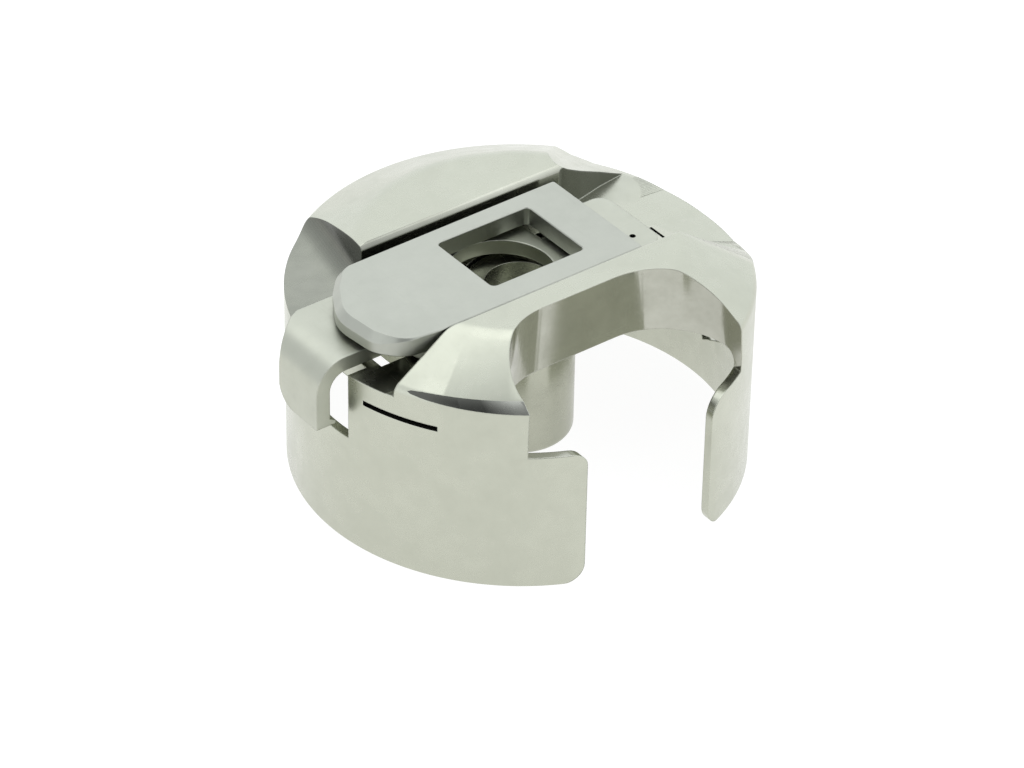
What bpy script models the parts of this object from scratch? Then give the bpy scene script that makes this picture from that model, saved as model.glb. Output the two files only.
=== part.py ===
"""Bobbin case of a sewing machine hook: a thin steel cup with a latch, modelled in metres, +Z up.

The case stands on its open rim and the latch is on top. The bobbin turns about the upright axis of the
centre tube. X runs along the latch, with the claw at -X and the hinge at +X, and the mouth faces -Y.
Sizes below are taken from the bobbin's axis, which stands beside the part's origin by CASE_SHIFT.
"""

import math

import bmesh
import bpy
from mathutils import Matrix, Vector

MM = 0.001

# Clearances
SEAT_GAP = 0.3 * MM  # between pieces that rest on each other
SIDE_GAP = 0.15 * MM  # round pins, screws and the tube
RUN_GAP = 0.12 * MM  # beside the latch and the claw

# Cup
WALL_RADIUS = 14.7 * MM
WALL = 0.6 * MM
CEILING_Z = 10.9 * MM  # depth of the room for the bobbin
CEILING_FILLET = 0.8 * MM
ROOF = 1.8 * MM  # from the ceiling up to the channel's floor
SLOPE_WIDTH = 4.6 * MM  # of the sloped top, from the flat top out to the wall
SLOPE_DROP = 2.4 * MM

# Channel of the latch, and the lowered shoulders at its ends
CHANNEL_FRONT_Y = -4.87 * MM
CHANNEL_BACK_Y = 5.03 * MM
CLAW_SHOULDER_X = -8.1 * MM
CLAW_SHOULDER_DEPTH = 0.1 * MM  # below the channel's floor
CLAW_SHOULDER_FILLET = 2.4 * MM
CHANNEL_FLARE = 0.95 * MM  # how far the channel's front side opens at both ends
HINGE_POCKET_BULGE = 0.8 * MM  # of the channel's back side, beside the slide's tail
DIP_REACH = 6.5 * MM  # how far in from the wall the dip at the hinge end starts
DIP = (  # angle, drop of the rim below the top in mm, slope inwards
    (46.0, 2.15, 0.53),
    (40.0, 2.95, 0.53),
    (34.0, 3.33, 0.53),
    (22.0, 3.45, 0.50),
    (14.0, 3.68, 0.25),
    (-14.0, 3.75, 0.20),
    (-22.0, 3.22, 0.50),
    (-30.0, 2.60, 0.53),
    (-36.0, 2.20, 0.53),
)

# Mouth
MOUTH_LEFT_X = -8.45 * MM
MOUTH_RIGHT_X = 7.6 * MM
MOUTH_BACK_Y = -6.35 * MM
MOUTH_CORNER = 4.0 * MM
ARCH_LEFT_X = -8.35 * MM  # the mouth's outline at the top
ARCH_RIGHT_X = 7.1 * MM
ARCH_BACK_Y = -6.65 * MM
ARCH_CORNER = 5.8 * MM
WING_DROP = 1.1 * MM  # from the ceiling down to the tops of the wings
WING_LEFT_X = -5.22 * MM
WING_RIGHT_X = 4.15 * MM
WING_CORNER = 1.5 * MM
WING_CORNER_LEFT_TOP = 0.8 * MM

# Notch for the claw, and the square hole in the floor behind it
NOTCH_BELOW_CLAW = 1.4 * MM
NOTCH_IN = 1.5 * MM  # how far the notch reaches in from the outside of the wall
FLOOR_HOLE_BAR = 0.8 * MM  # floor left between the notch and the hole
FLOOR_HOLE_LENGTH = 2.1 * MM
FLOOR_HOLE_HALF_Y = 2.45 * MM

# Centre tube
TUBE_RADIUS = 3.55 * MM
TUBE_BORE = 2.25 * MM
TUBE_BOTTOM_Z = 1.7 * MM
TUBE_LIP = 0.5 * MM

# Slide with its claw
SLIDE_THICK = 1.0 * MM
SLIDE_HALF_WIDTH = 4.2 * MM
SLIDE_TAIL_HALF = 3.1 * MM
SLIDE_TAIL_FROM_HINGE = 3.95 * MM
SLIDE_TAIL_CORNER = 1.0 * MM
SLIDE_HOLE_RADIUS = 3.38 * MM
SLIDE_HOLE_X = -1.49 * MM
SLIDE_WEB = 0.71 * MM  # left between the hole and the neck's notches
SLIDE_NECK_HALF = 1.3 * MM
SLIDE_TRAVEL = 1.3 * MM
CLAW_FRONT_Y = -1.85 * MM
CLAW_BACK_Y = 3.9 * MM
CLAW_ROOT = 4.1 * MM  # length of the claw before its bend
CLAW_BEND = 2.2 * MM  # outer radius of the bend
CLAW_DROP = 4.6 * MM
CLAW_END_CHAMFER = 2.6 * MM  # along the claw, at its far end
CLAW_END_CORNER = 1.4 * MM
CLAW_TOOTH = 0.42 * MM
CLAW_TOOTH_HEIGHT = 0.45 * MM

# Latch lever
LATCH_THICK = 1.3 * MM
LATCH_FLUSH = 0.15 * MM  # below the top of the lobes
LATCH_TIP_IN = 1.15 * MM  # from the outside of the wall in to the latch's tip
LATCH_END_FROM_HINGE = 0.88 * MM
LATCH_BACK_GAP = 0.73 * MM
WINDOW_X0 = -4.35 * MM
WINDOW_X1 = 2.71 * MM
WINDOW_HALF_Y = 2.9 * MM
WINDOW_CORNER = 0.35 * MM

# Hinge between the latch and the slide
HINGE_X = 4.95 * MM
HINGE_UNDER_TOP = 1.05 * MM
PIN_RADIUS = 0.35 * MM
PIN_CLEAR = 0.1 * MM
KNUCKLE_RADIUS = 0.62 * MM
BARREL_RADIUS = 0.8 * MM
LUG_HALF_X = 0.6 * MM
LUG_LENGTH = 2.1 * MM
LUG_INNER_Y = 1.6 * MM
LUG_OUTER_Y = 3.4 * MM
NECK_RELIEF = 0.5 * MM  # room in the slide's neck for the end of the raised latch

# Return spring of the slide
SPRING_Y = 1.0 * MM
SPRING_LENGTH = 4.0 * MM
SPRING_MEAN_RADIUS = 0.39 * MM
SPRING_WIRE = 0.22 * MM
SPRING_TURNS = 7
SPRING_ROOM = 0.15 * MM
SPRING_WALL = 0.28 * MM  # of the slide, between the spring's pocket and the hole

# Brake spring under the ceiling
BRAKE_THICK = 0.2 * MM
BRAKE_RING_IN = TUBE_RADIUS + 0.55 * MM
BRAKE_RING_OUT = BRAKE_RING_IN + 1.4 * MM
BRAKE_ARM_HALF = 1.6 * MM
BRAKE_SLOT_UP = 0.2 * MM  # from the ceiling up to the slots of the ears
BRAKE_SLOT_HEIGHT = 0.35 * MM
BRAKE_SLOT_FROM = -167.3
BRAKE_SLOT_TO = -146.8
BRAKE_TONGUE_HALF = 1.1 * MM
BRAKE_TONGUE_Y = 9.0 * MM
BRAKE_TONGUE_DROP = 0.75 * MM

# Thread slit and tension spring
SLIT_Z = 3.35 * MM  # of its inner end
SLIT_RISE = 2.85 * MM
SLIT_HEIGHT = 0.45 * MM
SLIT_END = -4.7
SLIT_BEND = -27.0
SLIT_RIM = -35.0
LEAF_THICK = 0.25 * MM
LEAF_FROM = -20.0
LEAF_TO = 50.0
LEAF_HALF_WIDTH = 1.8 * MM
LEAF_EYE_FROM = -6.0
LEAF_EYE_TO = -0.5
LEAF_EYE_OVER_SLIT = 0.55 * MM
SCREW_Z = 3.7 * MM
SCREW_SHANK = 0.7 * MM
ADJUST_ANGLE = 14.0
ADJUST_HEAD_RADIUS = 1.35 * MM
ADJUST_HEAD = 0.7 * MM
FIX_ANGLE = 42.0
FIX_HEAD_RADIUS = 1.1 * MM
FIX_HEAD = 0.5 * MM
SCREW_SLOT = 0.32 * MM
SCREW_SLOT_DEPTH = 0.3 * MM

# Heights that follow, from the ceiling up
CHANNEL_FLOOR_Z = CEILING_Z + ROOF
SLIDE_BOTTOM_Z = CHANNEL_FLOOR_Z + SEAT_GAP
SLIDE_TOP_Z = SLIDE_BOTTOM_Z + SLIDE_THICK
LATCH_BOTTOM_Z = SLIDE_TOP_Z + SEAT_GAP
LATCH_TOP_Z = LATCH_BOTTOM_Z + LATCH_THICK
TOP_Z = LATCH_TOP_Z + LATCH_FLUSH
CREASE_Z = TOP_Z - SLOPE_DROP
CLAW_SHOULDER_Z = CHANNEL_FLOOR_Z - CLAW_SHOULDER_DEPTH
WING_TOP_Z = CEILING_Z - WING_DROP
CLAW_BOTTOM_Z = SLIDE_TOP_Z - CLAW_DROP
NOTCH_Z = CLAW_BOTTOM_Z - NOTCH_BELOW_CLAW
TUBE_TOP_Z = CHANNEL_FLOOR_Z - SEAT_GAP / 2
HINGE_Z = LATCH_TOP_Z - HINGE_UNDER_TOP
LATCH_SKIN_Z = HINGE_Z + KNUCKLE_RADIUS + SIDE_GAP
BRAKE_SLOT_Z0 = CEILING_Z + BRAKE_SLOT_UP
ABOVE = TOP_Z + 2 * MM

# Places and radii that follow, out from the axis
INNER_RADIUS = WALL_RADIUS - WALL
TOP_RADIUS = WALL_RADIUS - SLOPE_WIDTH
BEYOND = WALL_RADIUS + 5 * MM
NOTCH_X = NOTCH_IN - WALL_RADIUS
FLOOR_HOLE_X0 = NOTCH_X + FLOOR_HOLE_BAR
FLOOR_HOLE_X1 = FLOOR_HOLE_X0 + FLOOR_HOLE_LENGTH
SLIDE_TAIL_X = HINGE_X + SLIDE_TAIL_FROM_HINGE
SLIDE_NECK_X0 = SLIDE_HOLE_X + SLIDE_HOLE_RADIUS + SLIDE_WEB
SLIDE_NECK_X1 = HINGE_X + math.hypot(LATCH_END_FROM_HINGE, HINGE_UNDER_TOP) + SIDE_GAP
CLAW_BEND_X = 0.1 * MM - WALL_RADIUS
CLAW_ROOT_X = CLAW_BEND_X + CLAW_ROOT
CLAW_OUT_X = CLAW_BEND_X - CLAW_BEND
LATCH_TIP_X = LATCH_TIP_IN - WALL_RADIUS
LATCH_END_X = HINGE_X + LATCH_END_FROM_HINGE
LATCH_FRONT_Y = CHANNEL_FRONT_Y + RUN_GAP
LATCH_BACK_Y = CHANNEL_BACK_Y - LATCH_BACK_GAP
HINGE_SHOULDER_X = HINGE_X + 1.15 * MM
SPRING_X0 = SLIDE_HOLE_X - SLIDE_HOLE_RADIUS - SPRING_WALL - SPRING_ROOM - SPRING_LENGTH
LEAF_IN = WALL_RADIUS + SEAT_GAP / 2
LEAF_OUT = LEAF_IN + LEAF_THICK
LEAF_Z0 = SCREW_Z - LEAF_HALF_WIDTH
LEAF_Z1 = SCREW_Z + LEAF_HALF_WIDTH
LEAF_EYE_Z = SLIT_Z + LEAF_EYE_OVER_SLIT
HEAD_BASE = LEAF_OUT + SEAT_GAP / 2
ROUND_STEPS = 144


def screw_reach():
    """Furthest +X of the adjusting screw's head."""
    turn = math.radians(ADJUST_ANGLE)
    return (HEAD_BASE + ADJUST_HEAD) * math.cos(turn) + ADJUST_HEAD_RADIUS * math.sin(turn)


def wall_front():
    """Furthest -Y of the wall, at the edge of the wing nearest to the front."""
    nearest = min(-WING_LEFT_X, WING_RIGHT_X)
    return math.sqrt(WALL_RADIUS**2 - nearest**2)


CASE_SHIFT = Vector((-(CLAW_OUT_X + screw_reach()) / 2, -(WALL_RADIUS - wall_front()) / 2, 0.0))


# ---------------------------------------------------------------- scene and helpers


def clear_scene():
    for obj in list(bpy.data.objects):
        bpy.data.objects.remove(obj)


def new_collection(name):
    collection = bpy.data.collections.new(name)
    bpy.context.scene.collection.children.link(collection)
    return collection


clear_scene()
PARTS = new_collection("bobbin_case")
CUTTERS = new_collection("bobbin_case_cutters")
CUTTERS.hide_render = True

case_axis = bpy.data.objects.new("case_axis", None)
case_axis.empty_display_size = 5 * MM
case_axis.location = CASE_SHIFT
PARTS.objects.link(case_axis)


def material(name, colour, roughness, metallic=1.0):
    made = bpy.data.materials.new(name)
    made.use_nodes = True
    shader = made.node_tree.nodes["Principled BSDF"]
    shader.inputs["Base Color"].default_value = (*colour, 1.0)
    shader.inputs["Roughness"].default_value = roughness
    shader.inputs["Metallic"].default_value = metallic
    made.diffuse_color = (*colour, 1.0)
    return made


def add_object(name, mesh, cutter=False):
    """Puts a mesh given in case coordinates under the case's axis."""
    obj = bpy.data.objects.new(name, mesh)
    (CUTTERS if cutter else PARTS).objects.link(obj)
    obj.parent = case_axis
    if cutter:
        obj.hide_render = True
        obj.display_type = "WIRE"
    return obj


def mesh_of(bm, name):
    bmesh.ops.recalc_face_normals(bm, faces=bm.faces)
    mesh = bpy.data.meshes.new(name)
    bm.to_mesh(mesh)
    bm.free()
    return mesh


def box(name, x0, x1, y0, y1, z0, z1, cutter=True):
    bm = bmesh.new()
    bmesh.ops.create_cube(bm, size=1.0)
    bmesh.ops.scale(bm, vec=(x1 - x0, y1 - y0, z1 - z0), verts=bm.verts)
    bmesh.ops.translate(bm, vec=((x0 + x1) / 2, (y0 + y1) / 2, (z0 + z1) / 2), verts=bm.verts)
    return add_object(name, mesh_of(bm, name), cutter)


def cylinder(name, radius, start, end, steps=48, cutter=True):
    """A cylinder of the given radius from one point to another."""
    start, end = Vector(start), Vector(end)
    along = end - start
    bm = bmesh.new()
    bmesh.ops.create_cone(
        bm, cap_ends=True, segments=steps, radius1=radius, radius2=radius, depth=along.length
    )
    turn = Vector((0, 0, 1)).rotation_difference(along.normalized()).to_matrix().to_4x4()
    bmesh.ops.transform(bm, matrix=Matrix.Translation((start + end) / 2) @ turn, verts=bm.verts)
    return add_object(name, mesh_of(bm, name), cutter)


def turned(name, profile, steps=ROUND_STEPS, cutter=False):
    """A profile of (radius, z) points, top to bottom down its outer side, turned about the axis."""
    bm = bmesh.new()
    verts = [bm.verts.new((radius, 0.0, z)) for radius, z in profile]
    for first, second in zip(verts, verts[1:]):
        bm.edges.new((first, second))
    mesh = bpy.data.meshes.new(name)
    bm.to_mesh(mesh)
    bm.free()
    obj = add_object(name, mesh, cutter)
    screw = obj.modifiers.new("Turn", "SCREW")
    screw.steps = steps
    screw.render_steps = steps
    screw.use_merge_vertices = True
    screw.merge_threshold = 1e-6
    screw.use_normal_calculate = False
    return obj


def swept(name, rows):
    """A closed solid through rows of points, each row one loop of the same length."""
    bm = bmesh.new()
    loops = [[bm.verts.new(point) for point in row] for row in rows]
    for first, second in zip(loops, loops[1:]):
        for i in range(len(first)):
            j = (i + 1) % len(first)
            bm.faces.new((first[i], first[j], second[j], second[i]))
    bm.faces.new(loops[0])
    bm.faces.new(loops[-1])
    return add_object(name, mesh_of(bm, name), cutter=True)


def between_rows(table, step=4.0):
    """The rows of a table filled in by even steps of its first column, an angle."""
    rows = []
    for first, second in zip(table, table[1:]):
        pieces = max(1, math.ceil(abs(second[0] - first[0]) / step))
        for k in range(pieces):
            rows.append([a + (b - a) * k / pieces for a, b in zip(first, second)])
    rows.append(list(table[-1]))
    return rows


def rounded(corners, step=9.0):
    """Points round a closed outline of (x, y, radius) corners, with each corner rounded."""
    points = []
    count = len(corners)
    for i, (x, y, radius) in enumerate(corners):
        corner = Vector((x, y))
        if radius <= 0:
            points.append(corner)
            continue
        before = (Vector(corners[i - 1][:2]) - corner).normalized()
        after = (Vector(corners[(i + 1) % count][:2]) - corner).normalized()
        half = math.acos(max(-1.0, min(1.0, before.dot(after)))) / 2
        centre = corner + (before + after).normalized() * (radius / math.sin(half))
        start = corner + before * (radius / math.tan(half)) - centre
        sweep = start.angle_signed(corner + after * (radius / math.tan(half)) - centre)
        pieces = max(2, math.ceil(abs(math.degrees(sweep)) / step))
        for j in range(pieces + 1):
            turn = -sweep * j / pieces
            points.append(centre + Matrix.Rotation(turn, 2) @ start)
    return points


def sector(inner, outer, start, end, step=3.0):
    """Outline of a flat ring sector between two radii and two angles in degrees."""
    pieces = max(2, math.ceil((end - start) / step))
    angles = [math.radians(start + (end - start) * i / pieces) for i in range(pieces + 1)]
    far = [Vector((outer * math.cos(a), outer * math.sin(a))) for a in angles]
    near = [Vector((inner * math.cos(a), inner * math.sin(a))) for a in reversed(angles)]
    return far + near


def circle(radius, steps, x=0.0, y=0.0):
    turns = [2 * math.pi * i / steps for i in range(steps)]
    return [Vector((x + radius * math.cos(t), y + radius * math.sin(t))) for t in turns]


def plate(name, outline, low, high, holes=(), upright=False, cutter=True):
    """A flat outline with its thickness, lying from z low to high, or upright along Y from low to high.

    An upright outline is given as (x, z).
    """
    curve = bpy.data.curves.new(name, "CURVE")
    curve.dimensions = "2D"
    curve.fill_mode = "BOTH"
    curve.extrude = (high - low) / 2
    for points in (outline, *holes):
        spline = curve.splines.new("POLY")
        spline.points.add(len(points) - 1)
        for point, at in zip(spline.points, points):
            point.co = (at[0], at[1], 0.0, 1.0)
        spline.use_cyclic_u = True
    if upright:
        place = Matrix.Translation((0, (low + high) / 2, 0)) @ Matrix.Rotation(math.pi / 2, 4, "X")
    else:
        place = Matrix.Translation((0, 0, (low + high) / 2))
    return add_object(name, mesh_from_curve(curve, place), cutter)


def mesh_from_curve(curve, place):
    """The closed mesh of a curve, moved by a matrix. The curve itself is removed."""
    guide = bpy.data.objects.new(curve.name, curve)
    PARTS.objects.link(guide)
    evaluated = guide.evaluated_get(bpy.context.evaluated_depsgraph_get())
    mesh = bpy.data.meshes.new_from_object(evaluated)
    mesh.name = curve.name
    bpy.data.objects.remove(guide)
    bm = bmesh.new()
    bm.from_mesh(mesh)
    bmesh.ops.remove_doubles(bm, verts=bm.verts, dist=1e-7)
    bmesh.ops.transform(bm, matrix=place, verts=bm.verts)
    bmesh.ops.recalc_face_normals(bm, faces=bm.faces)
    bm.to_mesh(mesh)
    bm.free()
    return mesh


def combine(target, others, operation):
    for other in others:
        boolean = target.modifiers.new(other.name, "BOOLEAN")
        boolean.operation = operation
        boolean.solver = "EXACT"
        boolean.object = other
    return target


def cut(target, *cutters):
    return combine(target, cutters, "DIFFERENCE")


def join(target, *others):
    return combine(target, others, "UNION")


def finish(obj, name, look, origin=None):
    """Names a piece, gives it its material, and puts its origin on its joint where it moves."""
    obj.name = name
    obj.data.name = name
    obj.data.materials.clear()
    obj.data.materials.append(look)
    if origin is not None:
        obj.data.transform(Matrix.Translation(-Vector(origin)))
        obj.location = origin
    obj.data.shade_smooth()
    obj.data.set_sharp_from_angle(angle=math.radians(30))
    return obj


def radial(angle, radius, z):
    turn = math.radians(angle)
    return Vector((radius * math.cos(turn), radius * math.sin(turn), z))


PLATED = material("plated_steel", (0.60, 0.61, 0.56), 0.28)
GROUND = material("ground_steel", (0.56, 0.59, 0.58), 0.36)
TURNED = material("turned_steel", (0.58, 0.58, 0.54), 0.25)
SPRING = material("spring_steel", (0.50, 0.51, 0.50), 0.30)
SCREW = material("screw_steel", (0.42, 0.43, 0.43), 0.32)


# ---------------------------------------------------------------- case body


def cup():
    fillet = [
        (
            INNER_RADIUS - CEILING_FILLET * (1 - math.cos(math.radians(a))),
            CEILING_Z - CEILING_FILLET * (1 - math.sin(math.radians(a))),
        )
        for a in range(0, 91, 30)
    ]
    profile = [
        (0.0, TOP_Z),
        (TOP_RADIUS, TOP_Z),
        (WALL_RADIUS, CREASE_Z),
        (WALL_RADIUS, 0.0),
        (INNER_RADIUS, 0.0),
        *fillet,
        (0.0, CEILING_Z),
    ]
    return turned("case_body", profile)


def channel_and_shoulders():
    low, deep = CLAW_SHOULDER_Z, CHANNEL_FLOOR_Z
    channel = box("cut_channel", -BEYOND, BEYOND, CHANNEL_FRONT_Y, CHANNEL_BACK_Y, deep, ABOVE)
    claw_end = [
        (-BEYOND, low, 0),
        (CLAW_SHOULDER_X, low, CLAW_SHOULDER_FILLET),
        (CLAW_SHOULDER_X, ABOVE, 0),
        (-BEYOND, ABOVE, 0),
    ]
    shoulder = plate(
        "cut_claw_shoulder", rounded(claw_end), CHANNEL_BACK_Y - 0.5 * MM, BEYOND, upright=True
    )
    bulge, tail = CHANNEL_BACK_Y + HINGE_POCKET_BULGE, SLIDE_TAIL_X
    hinge_end = [
        (HINGE_SHOULDER_X, 0, 0),
        (BEYOND, 0, 0),
        (BEYOND, CHANNEL_BACK_Y - 1 * MM, 0),
        (tail + 3.9 * MM, bulge, 0.8 * MM),
        (tail + 1.7 * MM, bulge - 0.3 * MM, 0),
        (tail - 0.4 * MM, CHANNEL_BACK_Y + 0.03 * MM, 0),
        (HINGE_SHOULDER_X + 0.9 * MM, CHANNEL_BACK_Y + 0.1 * MM, 0),
        (HINGE_SHOULDER_X, CHANNEL_BACK_Y - 0.4 * MM, 0),
    ]
    pocket = plate("cut_hinge_pocket", rounded(hinge_end), CHANNEL_FLOOR_Z, ABOVE)
    made = [channel, shoulder, pocket, dip()]
    for name, side in (("claw", -1), ("hinge", 1)):
        near, far = side * 9 * MM, side * BEYOND
        wedge = [
            (near, CHANNEL_FRONT_Y + 0.07 * MM),
            (far, CHANNEL_FRONT_Y - CHANNEL_FLARE * (BEYOND - 9 * MM) / (7 * MM)),
            (far, CHANNEL_FRONT_Y + 1 * MM),
            (near, CHANNEL_FRONT_Y + 1 * MM),
        ]
        made.append(plate(f"cut_flare_{name}", wedge, CHANNEL_FLOOR_Z, ABOVE))
    return made


def dip():
    """Lowers the rim at the hinge end to a dip that runs out in both lobes."""
    inner, outer = WALL_RADIUS - DIP_REACH, WALL_RADIUS + 2.3 * MM
    rows = []
    for angle, drop, slope in between_rows(DIP):
        rim = TOP_Z - drop * MM
        rows.append(
            [
                radial(angle, inner, rim + slope * DIP_REACH),
                radial(angle, outer, rim - slope * (outer - WALL_RADIUS)),
                radial(angle, outer, ABOVE + 2 * MM),
                radial(angle, inner, ABOVE + 2 * MM),
            ]
        )
    return swept("cut_hinge_dip", rows)


def mouth():
    """The arch, a little wider and squarer below than at the top, and the gap of the wings."""
    low = rounded(
        [
            (MOUTH_LEFT_X, -BEYOND, 0),
            (MOUTH_RIGHT_X, -BEYOND, 0),
            (MOUTH_RIGHT_X, MOUTH_BACK_Y, MOUTH_CORNER),
            (MOUTH_LEFT_X, MOUTH_BACK_Y, MOUTH_CORNER),
        ]
    )
    high = rounded(
        [
            (ARCH_LEFT_X, -BEYOND, 0),
            (ARCH_RIGHT_X, -BEYOND, 0),
            (ARCH_RIGHT_X, ARCH_BACK_Y, ARCH_CORNER),
            (ARCH_LEFT_X, ARCH_BACK_Y, ARCH_CORNER),
        ]
    )
    rows = [
        [(p[0], p[1], WING_TOP_Z) for p in low],
        [(p[0], p[1], CEILING_Z) for p in low],
        [(p[0], p[1], TOP_Z) for p in high],
        [(p[0], p[1], ABOVE) for p in high],
    ]
    through = swept("cut_mouth", rows)
    between = plate("cut_between_wings", between_wings(), -BEYOND, -TOP_RADIUS, upright=True)
    return through, between


def between_wings():
    """Outline, as (x, z), of the gap between the two wings, with their four corners rounded."""
    left, right, top = WING_LEFT_X, WING_RIGHT_X, WING_TOP_Z + 0.5 * MM
    points = []
    for a in range(0, 91, 15):
        t = math.radians(a)
        points.append(
            (left - WING_CORNER * (1 - math.sin(t)), WING_CORNER * (1 - math.cos(t)))
        )
    small = WING_CORNER_LEFT_TOP
    for a in range(0, 91, 15):
        t = math.radians(a)
        points.append((left - small * (1 - math.cos(t)), WING_TOP_Z - small * (1 - math.sin(t))))
    points.append((left - small, top))
    points.append((right + WING_CORNER, top))
    for a in range(90, -1, -15):
        t = math.radians(a)
        points.append(
            (right + WING_CORNER * (1 - math.cos(t)), WING_TOP_Z - WING_CORNER * (1 - math.sin(t)))
        )
    for a in range(90, -1, -15):
        t = math.radians(a)
        points.append(
            (right + WING_CORNER * (1 - math.sin(t)), WING_CORNER * (1 - math.cos(t)))
        )
    points.append((right + WING_CORNER, -1 * MM))
    points.append((left - WING_CORNER, -1 * MM))
    return points


def claw_openings():
    notch = box(
        "cut_notch",
        -BEYOND,
        NOTCH_X,
        CLAW_FRONT_Y - SIDE_GAP,
        CLAW_BACK_Y + SIDE_GAP,
        NOTCH_Z,
        ABOVE,
    )
    hole = box(
        "cut_floor_hole",
        FLOOR_HOLE_X0,
        FLOOR_HOLE_X1,
        -FLOOR_HOLE_HALF_Y,
        FLOOR_HOLE_HALF_Y,
        CEILING_Z - 1 * MM,
        ABOVE,
    )
    return notch, hole


def lug_pockets():
    bottom = HINGE_Z - LUG_LENGTH - SEAT_GAP
    x0 = HINGE_X - 1.1 * MM
    x1 = HINGE_X + LUG_HALF_X + SEAT_GAP
    inner, outer = LUG_INNER_Y - SIDE_GAP, LUG_OUTER_Y + SIDE_GAP
    return (
        box("cut_lug_pocket_back", x0, x1, inner, outer, bottom, ABOVE),
        box("cut_lug_pocket_front", x0, x1, -outer, -inner, bottom, ABOVE),
    )


def spring_groove():
    half = SPRING_MEAN_RADIUS + SPRING_WIRE / 2 + SPRING_ROOM
    return box(
        "cut_spring_groove",
        SPRING_X0 - 2 * SPRING_ROOM,
        SPRING_X0 + SPRING_LENGTH + SPRING_ROOM,
        SPRING_Y - half,
        SPRING_Y + half,
        spring_z() - half,
        ABOVE,
    )


def spring_z():
    return (CHANNEL_FLOOR_Z + SLIDE_BOTTOM_Z) / 2 + 0.1 * MM


def brake_room():
    """The recess in the ceiling that the brake spring lies in, and the wall slots of its ears."""
    low = CEILING_Z - 0.4 * MM
    high = BRAKE_SLOT_Z0 + BRAKE_SLOT_HEIGHT
    reach = BRAKE_RING_OUT + 0.2 * MM
    cutters = [plate("cut_brake_ring", circle(reach, 64), low, high)]
    half = BRAKE_ARM_HALF + SEAT_GAP
    for name, turn in (("a", 0.0), ("b", 180.0)):
        middle = (BRAKE_SLOT_FROM + BRAKE_SLOT_TO) / 2 + turn
        arm = box(f"cut_brake_arm_{name}", 0, INNER_RADIUS - 0.5 * MM, -half, half, low, high)
        arm.data.transform(Matrix.Rotation(math.radians(middle), 4, "Z"))
        slot = plate(
            f"cut_brake_slot_{name}",
            sector(INNER_RADIUS - 1.1 * MM, BEYOND, BRAKE_SLOT_FROM + turn, BRAKE_SLOT_TO + turn),
            BRAKE_SLOT_Z0,
            high,
        )
        cutters += [arm, slot]
    tongue = BRAKE_TONGUE_HALF + SEAT_GAP
    cutters.append(
        box("cut_brake_tongue", -tongue, tongue, 0, BRAKE_TONGUE_Y + SEAT_GAP, low, high)
    )
    return cutters


def slit_run(name, start, end, outer):
    """One straight run of the slit, wrapped on the wall, between two (angle, z)."""
    rise = end[1] - start[1]
    run = math.radians(end[0] - start[0]) * WALL_RADIUS
    length = math.hypot(run, rise)
    side, up = SLIT_HEIGHT / 2 * -rise / length, SLIT_HEIGHT / 2 * run / length
    rows = []
    for angle, z in between_rows((start, end), 2.0):
        turn = math.degrees(side / WALL_RADIUS)
        rows.append(
            [
                radial(angle - turn, INNER_RADIUS - 1 * MM, z - up),
                radial(angle - turn, outer, z - up),
                radial(angle + turn, outer, z + up),
                radial(angle + turn, INNER_RADIUS - 1 * MM, z + up),
            ]
        )
    return swept(name, rows)


def thread_slit():
    """The thread slides in at the rim, up the entry and down the run under the leaf."""
    bend = SLIT_Z + SLIT_RISE
    reach = (BEYOND + WALL_RADIUS) / 2
    return (
        slit_run("cut_slit", (SLIT_END, SLIT_Z), (SLIT_BEND, bend), reach),
        slit_run("cut_slit_entry", (SLIT_BEND + 0.4, bend + 0.1 * MM), (SLIT_RIM, -1 * MM), reach),
    )


def screw_holes():
    radius = SCREW_SHANK + SIDE_GAP
    return [
        cylinder(
            f"cut_screw_{name}",
            radius,
            radial(angle, INNER_RADIUS - 1 * MM, SCREW_Z),
            radial(angle, WALL_RADIUS + 1 * MM, SCREW_Z),
            32,
        )
        for name, angle in (("adjust", ADJUST_ANGLE), ("fix", FIX_ANGLE))
    ]


def make_body():
    body = cup()
    bore = cylinder(
        "cut_tube", TUBE_RADIUS + SIDE_GAP, (0, 0, CEILING_Z - 1 * MM), (0, 0, ABOVE), 64
    )
    cut(
        body,
        *channel_and_shoulders(),
        *mouth(),
        *claw_openings(),
        bore,
        *lug_pockets(),
        spring_groove(),
        *brake_room(),
        *thread_slit(),
        *screw_holes(),
    )
    return finish(body, "case_body", PLATED)


def make_tube():
    profile = [
        (TUBE_BORE, TUBE_TOP_Z),
        (TUBE_RADIUS, TUBE_TOP_Z),
        (TUBE_RADIUS, TUBE_BOTTOM_Z + TUBE_LIP),
        (TUBE_RADIUS - TUBE_LIP, TUBE_BOTTOM_Z),
        (TUBE_BORE, TUBE_BOTTOM_Z),
        (TUBE_BORE, TUBE_TOP_Z),
    ]
    return finish(turned("centre_tube", profile, 64), "centre_tube", TURNED)


# ---------------------------------------------------------------- slide, latch and their hinge


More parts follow.
